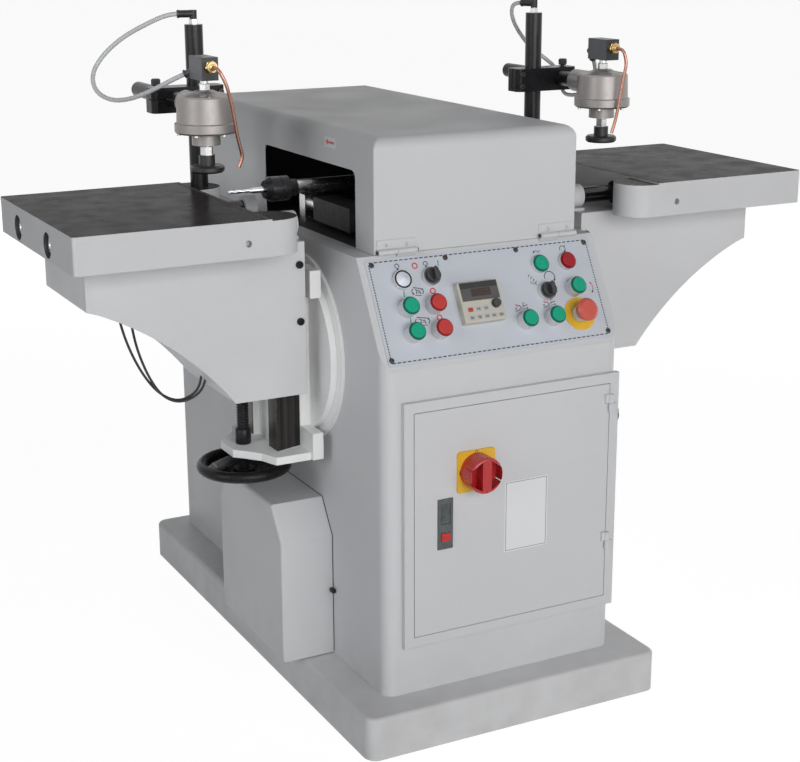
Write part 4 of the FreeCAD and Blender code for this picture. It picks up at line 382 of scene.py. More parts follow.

# The hood's inner walls are painted near black: a painted shade inside the hood.
hood_inside_shade = area(DARK_INSIDE, 0.7, centre=HOOD_MIDDLE, ax=(-1, 193.4), y=(-370.4, 429.4),
                   z=(826.5, 1015.4))
deck_inside = area(DARK_INSIDE, 0.7, ax=(-1, 193), y=(-370, 429), z=(825.5, 900))
# The cabinet's inner walls are a darker grey as painted shade; above 640 mm only faces looking inward take
# it.
cabinet_shade_low = area(CABINET_SHADE, 0.5, ax=(-1, 222.5), y=(-462.5, 497.5), z=(84, 640))
cabinet_shade_high = area(CABINET_SHADE, 0.5, centre=CABINET_MIDDLE, ax=(-1, 222.5), y=(-462.5, 497.5),
                    z=(639.9, 818.5))
# Ground table tops: lighter streaks running along Y are a painted sheen, a band from 519 to 616 mm out is
# darker, and a narrow strip of painted highlight with a thin painted shadow line borders the lobes.
table_areas = [
    area((0.1, 0.1, 0.1), 0.5, 0.4, nx=(-0.5, 0.5), ny=(-0.999, 0.999), z=(844, 888), y=(-252, -30)),
    # Painted sheen: lighter streaks along Y over the top and over the darker band.
    area(IRON, 0.27, streak=IRON_SHEEN, nz=UPWARD, z=(LOBE_TOP - 0.6, 2000)),
    area(IRON_DARK, 0.25, streak=IRON, nz=UPWARD, z=TOP_SKIN, ax=(519, 616)),
    # A painted highlight along the lobes' step, then a thin painted shadow line beside it.
    area((0.13, 0.12, 0.11), 0.38, nz=UPWARD, z=TOP_SKIN, ax=(375, 384)),
    area((0.018, 0.017, 0.016), 0.5, nz=UPWARD, z=TOP_SKIN, ax=(384, 385.2)),
]
# The dovetail's dark scraped lands with lighter vertical streaks of painted sheen, and the pale relief
# between them.
way_areas = [
    # Lighter vertical streaks on the lands are a painted sheen.
    area((0.015, 0.0135, 0.013), 0.34, 0.35, (0.05, 0.045, 0.042), 90.0, (1, 1, 0.02), ax=(268.5, 319),
         z=WAY_HEIGHTS),
    area(PALE_CASTING, 0.45, ax=(268.5, 317), y=(-196, -120), z=WAY_HEIGHTS),
]
# The collars' rims are tinted like their buttons; each box holds the collars of one colour.
collar_areas = [
    area(rim, 0.3, x=(left, right), slope=(low, high), nz=(0.4, 2), ny=(-0.9, -0.85))
    for left, right, low, high, rim in (
        (-182, -144, 40, 125, RIM_GREEN), (-131, -94, 40, 125, RIM_RED), (88, 126, 130, 172, RIM_GREEN),
        (143, 181, 130, 172, RIM_RED), (143, 181, 84, 122, RIM_GREEN), (34, 126, 37, 75, RIM_GREEN),
        (88, 126, 84, 122, RIM_GREY), (-125, -87, 132, 172, RIM_GREY))
]
pilot_lens = area((0.7, 0.72, 0.8), 0.25, x=(-172.9, -147.1), slope=(138.6, 164.4))
# The valve's dark front, its zinc stem, brass fitting and copper pipe.
valve_areas = [
    area(DARK_INSIDE, 0.4, ny=(-2, -0.7), y=(-179.8, -179.2)),
    area(ZINC, 0.3, 0.9, z=(CYLINDER_CROWN - 40, VALVE_FOOT - 0.2), y=(-158, -142)),
    area(BRASS, 0.24, 0.95, y=(-191.6, -179.6)),
    area(COPPER, 0.3, 0.95, y=(-400, -191.6)),
]
# The zinc nut and the black elbow on top of the post.
post_areas = [
    area(ZINC, 0.28, 0.9, z=(POST_TOP + 0.2, POST_TOP + 9.2)),
    area(BLACK, 0.4, z=(POST_TOP + 9.2, 3000)),
]
plunger_rod = area((0.62, 0.62, 0.62), 0.22, 0.95, z=(978.7, 2000))
bare_shaft = area(STEEL, 0.22, 1.0, ax=(-1, 239))

ENAMEL = {"mottle": 0.02, "patch": 3, "grain": 650, "relief": 0.1, "wear": CHIP, "wear_share": 0.3,
          "shine": 0.2}
CAST = {"mottle": 0.03, "patch": 7, "grain": 330, "wear": CHIP, "wear_share": 0.35}
BUTTON = {"mottle": 0.05, "patch": 90, "rounded": 0.0006, "shine": 0.3}
PRINT = {"mottle": 0.08, "rounded": 0.0}

finish("paint", PAINT, 0.46, dust=0.2, **ENAMEL)
# The hood's and the column's inner walls carry painted shade.
finish("hood_paint", PAINT, 0.44, areas=[hood_inside_shade], **ENAMEL)
finish("column_paint", PAINT, 0.46, dust=0.2, areas=[cabinet_shade_low, cabinet_shade_high, deck_inside], **ENAMEL)
finish("casting", CASTING, 0.48, relief=0.22, depth=0.0002, dust=0.25, shine=0.2, **CAST)
finish("ring", PALE_CASTING, 0.36, relief=0.15, shine=0.45, **CAST)
finish("table", CASTING, 0.46, mottle=0.03, patch=6, grain=380, relief=0.15, depth=0.00015, wear=CHIP,
       wear_share=0.35, areas=table_areas, shine=0.007)
finish("way", PALE_CASTING, 0.44, relief=0.2, depth=0.0002, areas=way_areas, shine=0.35, **CAST)
finish("steel", STEEL, 0.24, 1.0, patch=40, grain=1600, relief=0.08, rounded=0.0005)
finish("zinc", ZINC, 0.28, 0.9, mottle=0.08, patch=120, grain=2500, rounded=0.0004)
finish("black_steel", BLACK_STEEL, 0.3, 0.05, mottle=0.2, patch=30, grain=1200, rounded=0.0008,
       wear=(0.12, 0.12, 0.125), shine=0.15)
finish("guide_bar", (0.05, 0.05, 0.053), 0.17, 0.9, mottle=0.15, patch=60, grain=1500, rounded=0.0005)
finish("aluminium", ALUMINIUM, 0.42, 0.55, patch=30, grain=1500, relief=0.25, rounded=0.0008,
       wear=(0.6, 0.59, 0.58))
finish("handwheel", (0.009, 0.009, 0.0095), 0.3, mottle=0.25, patch=40, grain=700, relief=0.12,
       wear=(0.05, 0.05, 0.05), shine=0.15)
finish("black_plastic", BLACK, 0.42, mottle=0.2, patch=60, grain=2600, relief=0.2, rounded=0.0005,
       wear=(0.07, 0.07, 0.075))
finish("black_gloss", (0.014, 0.014, 0.015), 0.16, mottle=0.1, patch=60, rounded=0.0004)
finish("rubber", (0.02, 0.02, 0.021), 0.6, mottle=0.2, patch=90, grain=1800, relief=0.3, rounded=0.0006)
finish("panel", (0.55, 0.575, 0.63), 0.4, mottle=0.015, patch=12, grain=2200, relief=0.12,
       rounded=0.0005, shine=0.25)
finish("motor", (0.09, 0.092, 0.1), 0.4, 0.1, mottle=0.1, patch=20, wear=(0.25, 0.25, 0.25))
finish("green", (0.0, 0.35, 0.21), 0.24, **BUTTON)
finish("deep_red", (0.34, 0.008, 0.016), 0.22, **BUTTON)
finish("red", (0.52, 0.04, 0.038), 0.24, **BUTTON)
finish("stop_red", (0.56, 0.085, 0.06), 0.36, mottle=0.06, patch=60)
finish("collar", (0.62, 0.63, 0.64), 0.24, 0.1, patch=90, rounded=0.0004, areas=[*collar_areas, pilot_lens])
finish("key", (0.4, 0.41, 0.42), 0.4, patch=90, rounded=0.0004)
finish("grip", (0.1, 0.1, 0.103), 0.35, mottle=0.12, patch=60, rounded=0.0006, wear=(0.2, 0.2, 0.2))
finish("inside_black", DARK_INSIDE, 0.6, 0.2, mottle=0.2, patch=20, wear=(0.05, 0.05, 0.05))
finish("yellow", (0.72, 0.43, 0.02), 0.4, mottle=0.04, patch=50, rounded=0.0006)
finish("knob_red", (0.44, 0.012, 0.014), 0.3, mottle=0.07, patch=50, coat=0.2)
finish("beige", (0.52, 0.5, 0.43), 0.42, mottle=0.03, patch=40, grain=3000, relief=0.2, rounded=0.0006)
finish("smoked", (0.075, 0.068, 0.066), 0.2, mottle=0.1, patch=40, rounded=0.0)
finish("led_well", (0.03, 0.013, 0.012), 0.12, mottle=0.1, rounded=0.0)
finish("digit", (0.055, 0.014, 0.012), 0.3, rounded=0.0)
finish("latch", (0.075, 0.085, 0.085), 0.4, 0.2, mottle=0.2, patch=140, grain=2500, relief=0.4,
       wear=(0.25, 0.26, 0.26), rounded=0.0005)
finish("latch_red", (0.5, 0.015, 0.015), 0.35, mottle=0.08, patch=90, rounded=0.0005)
finish("brass", BRASS, 0.22, 0.95, mottle=0.12, patch=120, rounded=0.0004, wear=(0.8, 0.6, 0.3))
finish("hose", (0.58, 0.59, 0.6), 0.24, mottle=0.02, patch=30, grain=300, relief=0.02, rounded=0.0,
       shine=0.4)
finish("cable", (0.015, 0.015, 0.016), 0.5, mottle=0.15, patch=90, rounded=0.0)
finish("plate", (0.74, 0.745, 0.76), 0.5, mottle=0.01, patch=6, rounded=0.0004, shine=0.15)
finish("ink", (0.03, 0.03, 0.035), 0.5, mottle=0.1, rounded=0.0)
finish("ink_red", (0.55, 0.04, 0.04), 0.45, **PRINT)
finish("ink_green", (0.0, 0.28, 0.22), 0.45, **PRINT)
finish("valve", (0.075, 0.078, 0.09), 0.4, mottle=0.08, patch=60, grain=1800, relief=0.15,
       rounded=0.0007, areas=valve_areas)
finish("post", BLACK_STEEL, 0.24, 0.06, mottle=0.15, patch=30, grain=1200, rounded=0.0006,
       stretch=(1, 1, 0.1), areas=post_areas, wear=(0.2, 0.2, 0.2), shine=0.3)
finish("plunger", (0.016, 0.016, 0.017), 0.4, mottle=0.2, patch=60, grain=1600, relief=0.25,
       rounded=0.0008, areas=[plunger_rod])
finish("spindle", BLACK_STEEL, 0.25, 0.25, mottle=0.15, patch=50, rounded=0.0006, areas=[bare_shaft],
       wear=(0.3, 0.3, 0.3), shine=0.3)

NODE_LOOKS = {
    "casting": "base_plinth",
    "column_paint": "column_casing",
    "paint": "belt_cover cabinet_door",
    "hood_paint": "spindle_hood",
    "ring": "swivel_rings",
    "panel": "control_panel",
    "beige": "display_unit",
    "collar": "button_collars",
    "green": "left_table_start_button right_table_start_button spindle_start_button "
             "oscillation_start_button left_clamp_button right_clamp_button",
    "red": "left_table_stop_button right_table_stop_button",
    "deep_red": "spindle_stop_button",
    "stop_red": "emergency_stop_button",
    "black_plastic": "mode_selector rotation_selector speed_knob",
    "yellow": "switch_plate",
    "knob_red": "main_switch_knob",
    "latch": "door_latch",
    "latch_red": "latch_button",
    "steel": "slide_rods",
    "motor": "oscillation_gearbox",
    "inside_black": "spindle_carriage spindle_motor",
    "spindle": "spindle_shaft",
    "black_steel": "crank_wheel",
}
# Parts that both sides have.
SIDE_LOOKS = {
    "way": "slide_way",
    "handwheel": "handwheel",
    "casting": "knee",
    "guide_bar": "guide_bars",
    "table": "table",
    "post": "clamp_post",
    "black_steel": "clamp_arm cross_bar",
    "aluminium": "air_cylinder",
    "valve": "blow_valve",
    "plunger": "plunger",
}


def dress(table, prefix=""):
    for look, parts in table.items():
        for part in parts.split():
            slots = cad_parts[prefix + part].data.materials
            slots.clear()
            slots.append(looks[look])


dress(NODE_LOOKS)
for side, _ in SIDES:
    dress(SIDE_LOOKS, f"{side}_")

# Mesh tools


def row(shape, points, height, place=UNMOVED):
    """One vertex over each point of an outline in XY, at one height."""
    return [shape.verts.new(place @ Vector((u, v, height))) for u, v in points]


def skin(shape, rings, looped=False):
    """Four-sided faces from ring to ring. A looped skin returns to its first ring, another has end faces."""
    following = rings[1:] + rings[:1] if looped else rings[1:]
    for lower, upper in zip(rings, following):
        for k in range(len(lower)):
            after = (k + 1) % len(lower)
            shape.faces.new((lower[k], lower[after], upper[after], upper[k]))
    if not looped:
        shape.faces.new(rings[0][::-1])
        shape.faces.new(rings[-1])


def tube(shape, section, low, high, rows, place):
    """A closed tube along Z; section gives its outline at each height."""
    heights = [low + (high - low) * index / rows for index in range(rows + 1)]
    skin(shape, [row(shape, section(height), height, place) for height in heights])


def extrude_outline(shape, points, low, high, place=UNMOVED):
    """A prism over a closed outline in XY, from low to high along Z."""
    tube(shape, lambda height: points, low, high, 1, place)


def lathe(shape, profile, place=UNMOVED, steps=32):
    """Turns (radius, height) points about Z; a radius of zero closes the shape. Gives its last ring."""
    rings = [row(shape, polygon(steps, radius) if radius else [(0, 0)], height, place)
             for radius, height in profile]
    for lower, upper in zip(rings, rings[1:]):
        for k in range(steps):
            after = (k + 1) % steps
            corners = list(dict.fromkeys((lower[k % len(lower)], lower[after % len(lower)],
                                          upper[after % len(upper)], upper[k % len(upper)])))
            if len(corners) > 2:
                shape.faces.new(corners)
    return rings[-1]


def polygon(sides, radius, turn=0.0):
    angles = [turn + tau * k / sides for k in range(sides)]
    return [(radius * cos(angle), radius * sin(angle)) for angle in angles]


def rectangle(left, right, low, high):
    return [(left, low), (right, low), (right, high), (left, high)]


def rounded_outline(left, right, low, high, radius, steps=4):
    points = []
    for x, y, start in ((right - radius, high - radius, 0), (left + radius, high - radius, 90),
                        (left + radius, low + radius, 180), (right - radius, low + radius, 270)):
        for k in range(steps + 1):
            angle = radians(start + 90 * k / steps)
            points.append((x + radius * cos(angle), y + radius * sin(angle)))
    return points


def flat_ring(shape, centre, inner, outer, low, high, start=0.0, end=360.0, steps=28, place=UNMOVED):
    """A flat band around a centre, whole or from one angle to another."""
    whole = end - start >= 360
    sections = []
    for k in range(steps if whole else steps + 1):
        angle = radians(start + (end - start) * k / steps)
        across, up = cos(angle), sin(angle)
        sections.append([shape.verts.new(place @ Vector((centre[0] + r * across, centre[1] + r * up, h)))
                         for r, h in ((inner, low), (outer, low), (outer, high), (inner, high))])
    skin(shape, sections, whole)


def facing(origin, direction, spin=0.0):
    """A frame at the origin whose Z points along the direction."""
    turn = Vector(direction).to_track_quat("Z", "Y").to_matrix().to_4x4()
    return Matrix.Translation(Vector(origin)) @ turn @ Matrix.Rotation(spin, 4, "Z")


def piece(name, shape, body, slot, look, smooth=35.0, replaces=()):
    """Makes the shape a piece of the object, in metres, riding on a body."""
    bmesh.ops.recalc_face_normals(shape, faces=shape.faces)
    bmesh.ops.scale(shape, vec=(MM, MM, MM), verts=shape.verts)
    mesh = bpy.data.meshes.new(name)
    shape.to_mesh(mesh)
    shape.free()
    for face in mesh.polygons:
        face.use_smooth = True
    mesh.set_sharp_from_angle(angle=radians(smooth))
    mesh.materials.append(looks[look])
    made = new_object(name, mesh)
    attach(made, body)
    if replaces:
        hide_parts(*replaces)


def flat_piece(name, outline, low, high, place, *ways):
    """A piece that is one prism."""
    shape = bmesh.new()
    extrude_outline(shape, outline, low, high, place)
    piece(name, shape, *ways)


def turned_piece(name, profile, place, steps, *ways):
    """A piece that is one turned shape."""
    shape = bmesh.new()
    lathe(shape, profile, place, steps)
    piece(name, shape, *ways)


def socket_screw(shape, origin, direction, radius, height, spin=0.0):
    """A cap screw's head with a chamfered rim and a hexagon socket."""
    place = facing(origin, direction, spin)
    edge = radius * 0.12
    steps = 24
    rim = lathe(shape, [(0, -0.4), (radius, -0.4), (radius, height - edge), (radius - edge, height)],
                place, steps)
    hexagon = polygon(6, radius * 0.52)
    mouth, bottom = row(shape, hexagon, height, place), row(shape, hexagon, height * 0.4, place)
    for k in range(6):
        arc_of_rim = [rim[(k * 4 + j) % steps] for j in range(5)]
        after = (k + 1) % 6
        shape.faces.new([mouth[k], *arc_of_rim, mouth[after]])
        shape.faces.new([mouth[k], mouth[after], bottom[after], bottom[k]])
    shape.faces.new(bottom)


def dome_screw(shape, origin, direction, radius, height, spin=0.0):
    """A low domed head with a cross recess."""
    place = facing(origin, direction, spin)
    lathe(shape, [(radius, -0.3), (radius, height * 0.35), (radius * 0.85, height * 0.75),
                  (radius * 0.45, height)], place, 20)
    arm, half = radius * 0.5, radius * 0.12
    cross = [(arm, -half), (arm, half), (half, half), (half, arm), (-half, arm), (-half, half),
             (-arm, half), (-arm, -half), (-half, -half), (-half, -arm), (half, -arm), (half, -half)]
    bottom, mouth = row(shape, cross, height * 0.35, place), row(shape, cross, height * 0.97, place)
    crown = row(shape, polygon(12, radius * 0.6, 0.26), height * 0.97, place)
    shape.faces.new(bottom)
    for k in range(12):
        after = (k + 1) % 12
        shape.faces.new((mouth[k], mouth[after], bottom[after], bottom[k]))
        shape.faces.new((mouth[k], mouth[after], crown[after], crown[k]))


def hex_nut(shape, origin, direction, radius, height, hole, spin=0.0):
    """A hexagon nut with turned-off corners round a hole."""
    place = facing(origin, direction, spin)
    chamfer = radius * 0.1
    inset = radius - chamfer
    profile = ((inset, 0), (radius, chamfer), (radius, height - chamfer), (inset, height),
               (hole, height), (hole, 0))
    skin(shape, [row(shape, polygon(6, out), rise, place) for out, rise in profile], looped=True)


def knurled_knob(shape, origin, direction, radius, height):
    """A thumb knob with fine ribs round it and a chamfered top."""
    place = facing(origin, direction)
    ribs = 24
    outline = []
    for k, (u, v) in enumerate(polygon(ribs * 4, radius)):
        share = 1 if k % 4 < 2 else 0.93
        outline.append((u * share, v * share))
    low, high = height * 0.12, height * 0.88
    extrude_outline(shape, outline, low, high, place)
    lathe(shape, [(0, 0), (radius * 0.8, 0), (radius * 0.9, low)], place)
    lathe(shape, [(radius * 0.92, high), (radius * 0.8, height), (radius * 0.3, height), (0, height * 0.94)],
          place)


# Cords

for side, sign in SIDES:
    route = hose_route(side, sign)
    hose = cord_curve(f"{side}_hose", route, HOSE_RADIUS, f"{side}_bar", looks["hose"])
    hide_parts(f"{side}_air_hose")
for name, points in CABLE_POINTS.items():
    cable = cord_curve(f"{name}_cable", points, CABLE_RADIUS, "left_knee", looks["cable"])
    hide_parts("left_knee_cables")

# Control panel print: u runs across the slope and v up it.

STROKE = 1.35


def ink(shape, outline):
    extrude_outline(shape, outline, PANEL_FACE - 0.2, PANEL_FACE + 0.25, SLOPE)


def panel_border():
    """A broken line round the panel: long dashes across, short ones up the sides."""
    shape = bmesh.new()
    left, right, low, high = -212, 212, 15, 187
    half = 0.95
    long_dash, long_step = 6.4, 9.4
    short_dash, short_step = 2.8, 4.6
    for v in (low, high):
        for k in range(int((right - left) / long_step)):
            u = left + 1 + k * long_step
            ink(shape, rectangle(u, u + long_dash, v - half, v + half))
    for u in (left, right):
        for k in range(int((high - low) / short_step)):
            v = low + k * short_step
            ink(shape, rectangle(u - half, u + half, v, v + short_dash))
    return shape


def stroke(shape, u, v, across, up, width=STROKE):
    """A straight printed line from (u, v)."""
    length = hypot(across, up)
    a, b = -up / length * width / 2, across / length * width / 2
    ink(shape, [(u + a, v + b), (u - a, v - b), (u + across - a, v + up - b), (u + across + a, v + up + b)])


def arrow_head(shape, u, v, size, turn):
    ink(shape, [(u + size * cos(turn + a), v + size * sin(turn + a)) for a in (0, 2.3, -2.3)])


def arc(shape, u, v, radius, start, end, width=STROKE, head=2.6):
    """An arc with an arrow head at its end, or a whole ring."""
    flat_ring(shape, (u, v), radius - width / 2, radius + width / 2, PANEL_FACE - 0.2, PANEL_FACE + 0.25,
              start, end, 16, SLOPE)
    if head:
        tip = radians(end)
        arrow_head(shape, u + radius * cos(tip), v + radius * sin(tip), head,
                   tip + copysign(pi / 2, end - start))


def bulb(shape, u, v):
    arc(shape, u, v, 3.7, -50, 230, head=0)
    for rise, reach in ((-4.2, 2.0), (-6.0, 1.6)):
        stroke(shape, u - reach, v + rise, reach * 2, 0)
    stroke(shape, u, v - 6, 0, 3.5, 0.8)


def swing_sign(dark, red, u, v, width):
    """A table that swings on its column: board, legs, turning arrows."""
    stroke(dark, u - width * 0.3, v + 7, width * 0.6, -3, 1.4)
    stroke(dark, u - width * 0.22, v + 4, width * 0.34, -4, 1.1)
    stroke(dark, u - width * 0.1, v + 3, -1, -8, 1.1)
    stroke(dark, u + width * 0.12, v + 2, 1.5, -8, 1.1)
    stroke(dark, u - width * 0.3, v - 7, width * 0.55, -1, 1.1)
    arc(dark, u + width * 0.28, v - 1, 4.5, -70, 60)
    arc(dark, u - width * 0.3, v, 4.5, 110, 240)
    for k in range(3):
        stroke(dark, u - width * 0.12 + k * 3.2, v - 3.5, 1.6, 2.6, 0.9)
    stroke(red, u - width * 0.34, v + 6, 2.6, 1.6, 1.3)


def clamp_sign(dark, red, u, v):
    """A ram over a board between two arrows."""
    for left, low, across, up, width in ((-13, -5, 11, 3, 1.2), (1, 1.5, 12, 3, 1.2), (-3, 5, 3, -7, 1.4),
                                         (-8, 3.5, 5, 1.2, 1), (3, -2.5, 5, 1.2, 1)):
        stroke(dark, u + left, v + low, across, up, width)
    arrow_head(dark, u - 11, v - 0.5, 2.4, -pi / 2)
    arrow_head(dark, u + 11, v - 1, 2.4, pi / 2)
    arc(dark, u + 6, v + 6, 2.4, 20, 300, 0.9, 0)
    arc(red, u - 8.5, v + 5.5, 1.5, 0, 360, 1.1, 0)


def panel_print():
    """Plain marks: on and off signs, turning arrows, swing and clamp signs."""
    red, green, dark = bmesh.new(), bmesh.new(), bmesh.new()
    for u, v in ((-128.9, 174.3), (-106.7, 128.0), (-106.4, 81.5)):
        arc(red, u, v, 4.5, 0, 360, 2.1, 0)
    for u, v in ((-84.7, 174.4), (-160.4, 128.3), (-159.9, 82.0)):
        stroke(green, u - 0.6, v - 5, 1.2, 10, 1.9)
    bulb(dark, -161.4, 177.2)
    bulb(dark, -108.3, 176.2)
    swing_sign(dark, red, -134.5, 130.5, 21)
    swing_sign(dark, red, -138.5, 79.4, 30)
    arc(dark, 107, 172.5, 4.6, 10, 150, 1.1)
    stroke(green, 113.5, 173, 1.4, 5, 1.5)
    arc(dark, 162, 175, 5.6, 200, -60, 1.2)
    stroke(green, 166.5, 178.5, 2.5, 3.5, 1.5)
    arc(dark, 122, 128, 10.2, 190, -40, 1.5, 3.2)
    for k in range(4):
        stroke(dark, 80 + k * 3.6, 132 - k * 4.2, 3.4, 4.4, 1.2)
        stroke(dark, 82 + k * 3.2, 124 - k * 1.2, 1.2, -4.4, 0.9)
    arc(red, 190, 101, 13, -8, 38, 1.3)
    arc(dark, 190, 101, 13, -12, -42, 1.3)
    clamp_sign(dark, red, 52, 80)
    clamp_sign(dark, red, 108, 80)
    return red, green, dark


PRINTED = ("frame", "panel_blue_white")
piece("panel_border", panel_border(), *PRINTED, "ink")
for tone, look, shape in zip(("red", "green", "dark"), ("ink_red", "ink_green", "ink"), panel_print()):
    piece(f"panel_marks_{tone}", shape, *PRINTED, look)

screws = bmesh.new()
out_of_panel = SLOPE.to_3x3() @ Z
SCREW_PLACES = ((-207, 182.5), (-69, 182.5), (69, 182.5), (208, 182.5), (-211, 20), (211, 20))
for turn, (u, v) in enumerate(SCREW_PLACES):
    dome_screw(screws, SLOPE @ Vector((u, v, PANEL_FACE)), out_of_panel, 4.6, 2.8, turn)
piece("panel_screws", screws, "frame", "black_matte", "black_plastic")

# The display's smoked front, generic digits and keys; its face is 17 mm above the slope.

DISPLAY_FACE = 17
GLOSS = ("frame", "black_gloss")
KEYS = ("frame", "beige_plastic")


def on_display(shape, outline, low, high):
    extrude_outline(shape, outline, DISPLAY_FACE + low, DISPLAY_FACE + high, SLOPE)


smoked, band, well = bmesh.new(), bmesh.new(), bmesh.new()
on_display(smoked, rounded_outline(-64.6, 7.2, 99, 131, 1), -0.2, 0.5)
on_display(smoked, rounded_outline(-60.4, 3.4, 101, 128, 1), -1.6, 0)
on_display(band, rounded_outline(-64.4, 7.0, 120.5, 130.8, 1), 0.3, 0.6)
on_display(well, rounded_outline(-45.5, -8, 106, 119.5, 0.8), 0.3, 0.6)
piece("display_window", smoked, *GLOSS, "smoked")
piece("display_band", band, *GLOSS, "black_gloss")
piece("display_well", well, *GLOSS, "led_well")

# Each segment's place across and up from the digit's middle, and whether it lies flat.
SEGMENTS = {"a": (0, 1, 1), "b": (1, 0.5, 0), "c": (1, -0.5, 0), "d": (0, -1, 1), "e": (-1, -0.5, 0),
            "f": (-1, 0.5, 0), "g": (0, 0, 1)}
DIGITS = {"0": "abcdef", "1": "bc", "5": "acdfg"}


def digits(text, left, middle, width, height):
    shape = bmesh.new()
    line = width * 0.2
    for place, character in enumerate(text):
        centre = left + place * width * 1.55
        for name in DIGITS[character]:
            across, up, flat = SEGMENTS[name]
            u = centre + across * width / 2
            v = middle + up * height / 2
            half_u, half_v = (width * 0.42, line / 2) if flat else (line / 2, height * 0.22)
            on_display(shape, rectangle(u - half_u, u + half_u, v - half_v, v + half_v), 0.5, 0.75)
    return shape


piece("display_digits", digits("1500", -38.5, 112.7, 4.8, 8), *GLOSS, "digit")

keys, red_keys, key_signs = bmesh.new(), bmesh.new(), bmesh.new()
KEY_PLACES = ((-54, 84), (-39, 84), (-24, 84), (-54, 70), (-40, 70), (-26, 70), (-12, 70), (2, 70))
for number, (u, v) in enumerate(KEY_PLACES):
    target = red_keys if number == 0 else keys
    on_display(target, rounded_outline(u - 4.6, u + 4.6, v - 3.6, v + 3.6, 1.2), -0.3, 0.9)
    for k in range(3):
        low = u - 2.6 + k * 2
        tall = 1.1 + (number * 5 + k * 3) % 4 * 0.45
        on_display(key_signs, rectangle(low, low + 1.1, v - tall, v + tall), 0.8, 1.0)
piece("display_keys", keys, *KEYS, "key")
piece("display_stop_key", red_keys, *KEYS, "ink_red")
piece("display_key_signs", key_signs, *KEYS, "ink")

# The emergency stop's yellow shield and the dark ring of the pilot lamp
turned_piece("stop_shield", [(15.3, 1.52), (29.3, 1.52), (29.6, 1.9), (29.3, 2.2), (15.3, 2.2)],
             SLOPE @ Matrix.Translation((162, 56, PANEL_FACE)), 48, "frame", "plate_yellow", "yellow")
turned_piece("lamp_ring", [(12.7, 10.8), (12.7, 11.6), (15.3, 11.6), (15.6, 11.2), (15.6, 10.8)],
             SLOPE @ Matrix.Translation((-160, 151.5, 0)), 40, *GLOSS, "black_gloss")

# Door: blank plate with a line round it, marks on the switch plate, ridges on the latch

door_out = framed(X, Z, -Y, (0, DOOR_FACE_Y, 0))
flat_piece("blank_plate", rounded_outline(-4.5, 82, 305, 434, 2), -0.2, 0.6, door_out,
           "door", "panel_blue_white", "plate")

marks = bmesh.new()
for sides in ((-2, 79.5, 307.5, 308.2), (-2, 79.5, 430.8, 431.5), (-2, -1.3, 308.2, 430.8),
              (78.8, 79.5, 308.2, 430.8)):
    extrude_outline(marks, rectangle(*sides), 0.55, 0.75, door_out)
piece("plate_line", marks, "door", "panel_blue_white", "ink")

switch_marks = bmesh.new()
extrude_outline(switch_marks, rectangle(-95.6, -94.4, 462, 470), 3.9, 4.25, door_out)
flat_ring(switch_marks, (-63, 499), 1.9, 2.9, 3.9, 4.25, place=door_out)
piece("switch_marks", switch_marks, "door", "black_matte", "ink")

ridges = bmesh.new()
for k in range(9):
    z = 384 + k * 3.6
    extrude_outline(ridges, rectangle(-129, -113, z, z + 1.6), 1.4, 2.6, door_out)
piece("latch_ridges", ridges, "door", "latch_grey", "latch")

# Screws and pins of the hood's hinges, arrow plate on its left side

hinge_screws = bmesh.new()
for leaf in (-193, 121):
    for u in (leaf + 17, leaf + 55):
        dome_screw(hinge_screws, (u, HOOD_FRONT_Y, DECK + 15), -Y, 4.2, 1.8, u)
piece("hood_hinge_screws", hinge_screws, "hood", "paint_grey", "paint")
pins = bmesh.new()
for x, way in ((-121, 1), (-193, -1), (121, -1), (193, 1)):
    lathe(pins, [(2.2, -1), (2.2, 0.6), (3.4, 0.6), (3.4, 1.8), (2.6, 2.6), (0, 2.6)],
          facing((x, HINGE_Y, HINGE_Z), X * way), 20)
piece("hood_hinge_pins", pins, *GLOSS, "black_gloss")

hood_side = framed(-Y, Z, -X, (-HOOD_WALL, 0, 0))
flat_piece("arrow_plate", rounded_outline(186, 228, 984, 1002, 1.5), -0.1, 0.5, hood_side,
           "hood", "panel_blue_white", "plate")
arrow = [(190, 993), (199, 998.5), (199, 995), (224, 995), (224, 991), (199, 991), (199, 987.5)]
flat_piece("turning_arrow", arrow, 0.4, 0.65, hood_side, "hood", "panel_blue_white", "ink_red")

# Knobs, joint and rear cover of the frame

turned_piece("cover_knob", [(0, 0), (3, 0), (3, 4), (4.6, 4), (4.9, 5), (4.9, 11), (4.2, 12.4), (0, 12.8)],
             facing((-WALL_OUT - 5, -265, 202), -Y), 28, *GLOSS, "black_gloss")

# A thin dark joint runs round the side cover where it meets the wall.
joint = bmesh.new()
half_joint = 0.6
cover_edge = [(-265, 80), (-265, 304), (-224, 365), (-15, 365), (26, 304), (26, 80)]
for (y0, z0), (y1, z1) in zip(cover_edge, cover_edge[1:]):
    length = hypot(y1 - y0, z1 - z0)
    a, b = -(z1 - z0) / length * half_joint, (y1 - y0) / length * half_joint
    extrude_outline(joint, [(y0 + a, z0 + b), (y1 + a, z1 + b), (y1 - a, z1 - b), (y0 - a, z0 - b)],
                    -WALL_OUT - 1.5, -WALL_OUT + 0.2, framed(Y, Z, X))
piece("cover_joint", joint, "frame", "black_matte", "rubber")

knob_profile = [(0, 0), (8, 0), (8, 2), (13, 2), (14, 3.5), (14, 8), (12, 10.5), (6, 11), (0, 11)]
turned_piece("column_knob", knob_profile, facing((WALL_OUT, -450, 512), X), 36, *GLOSS, "black_gloss")

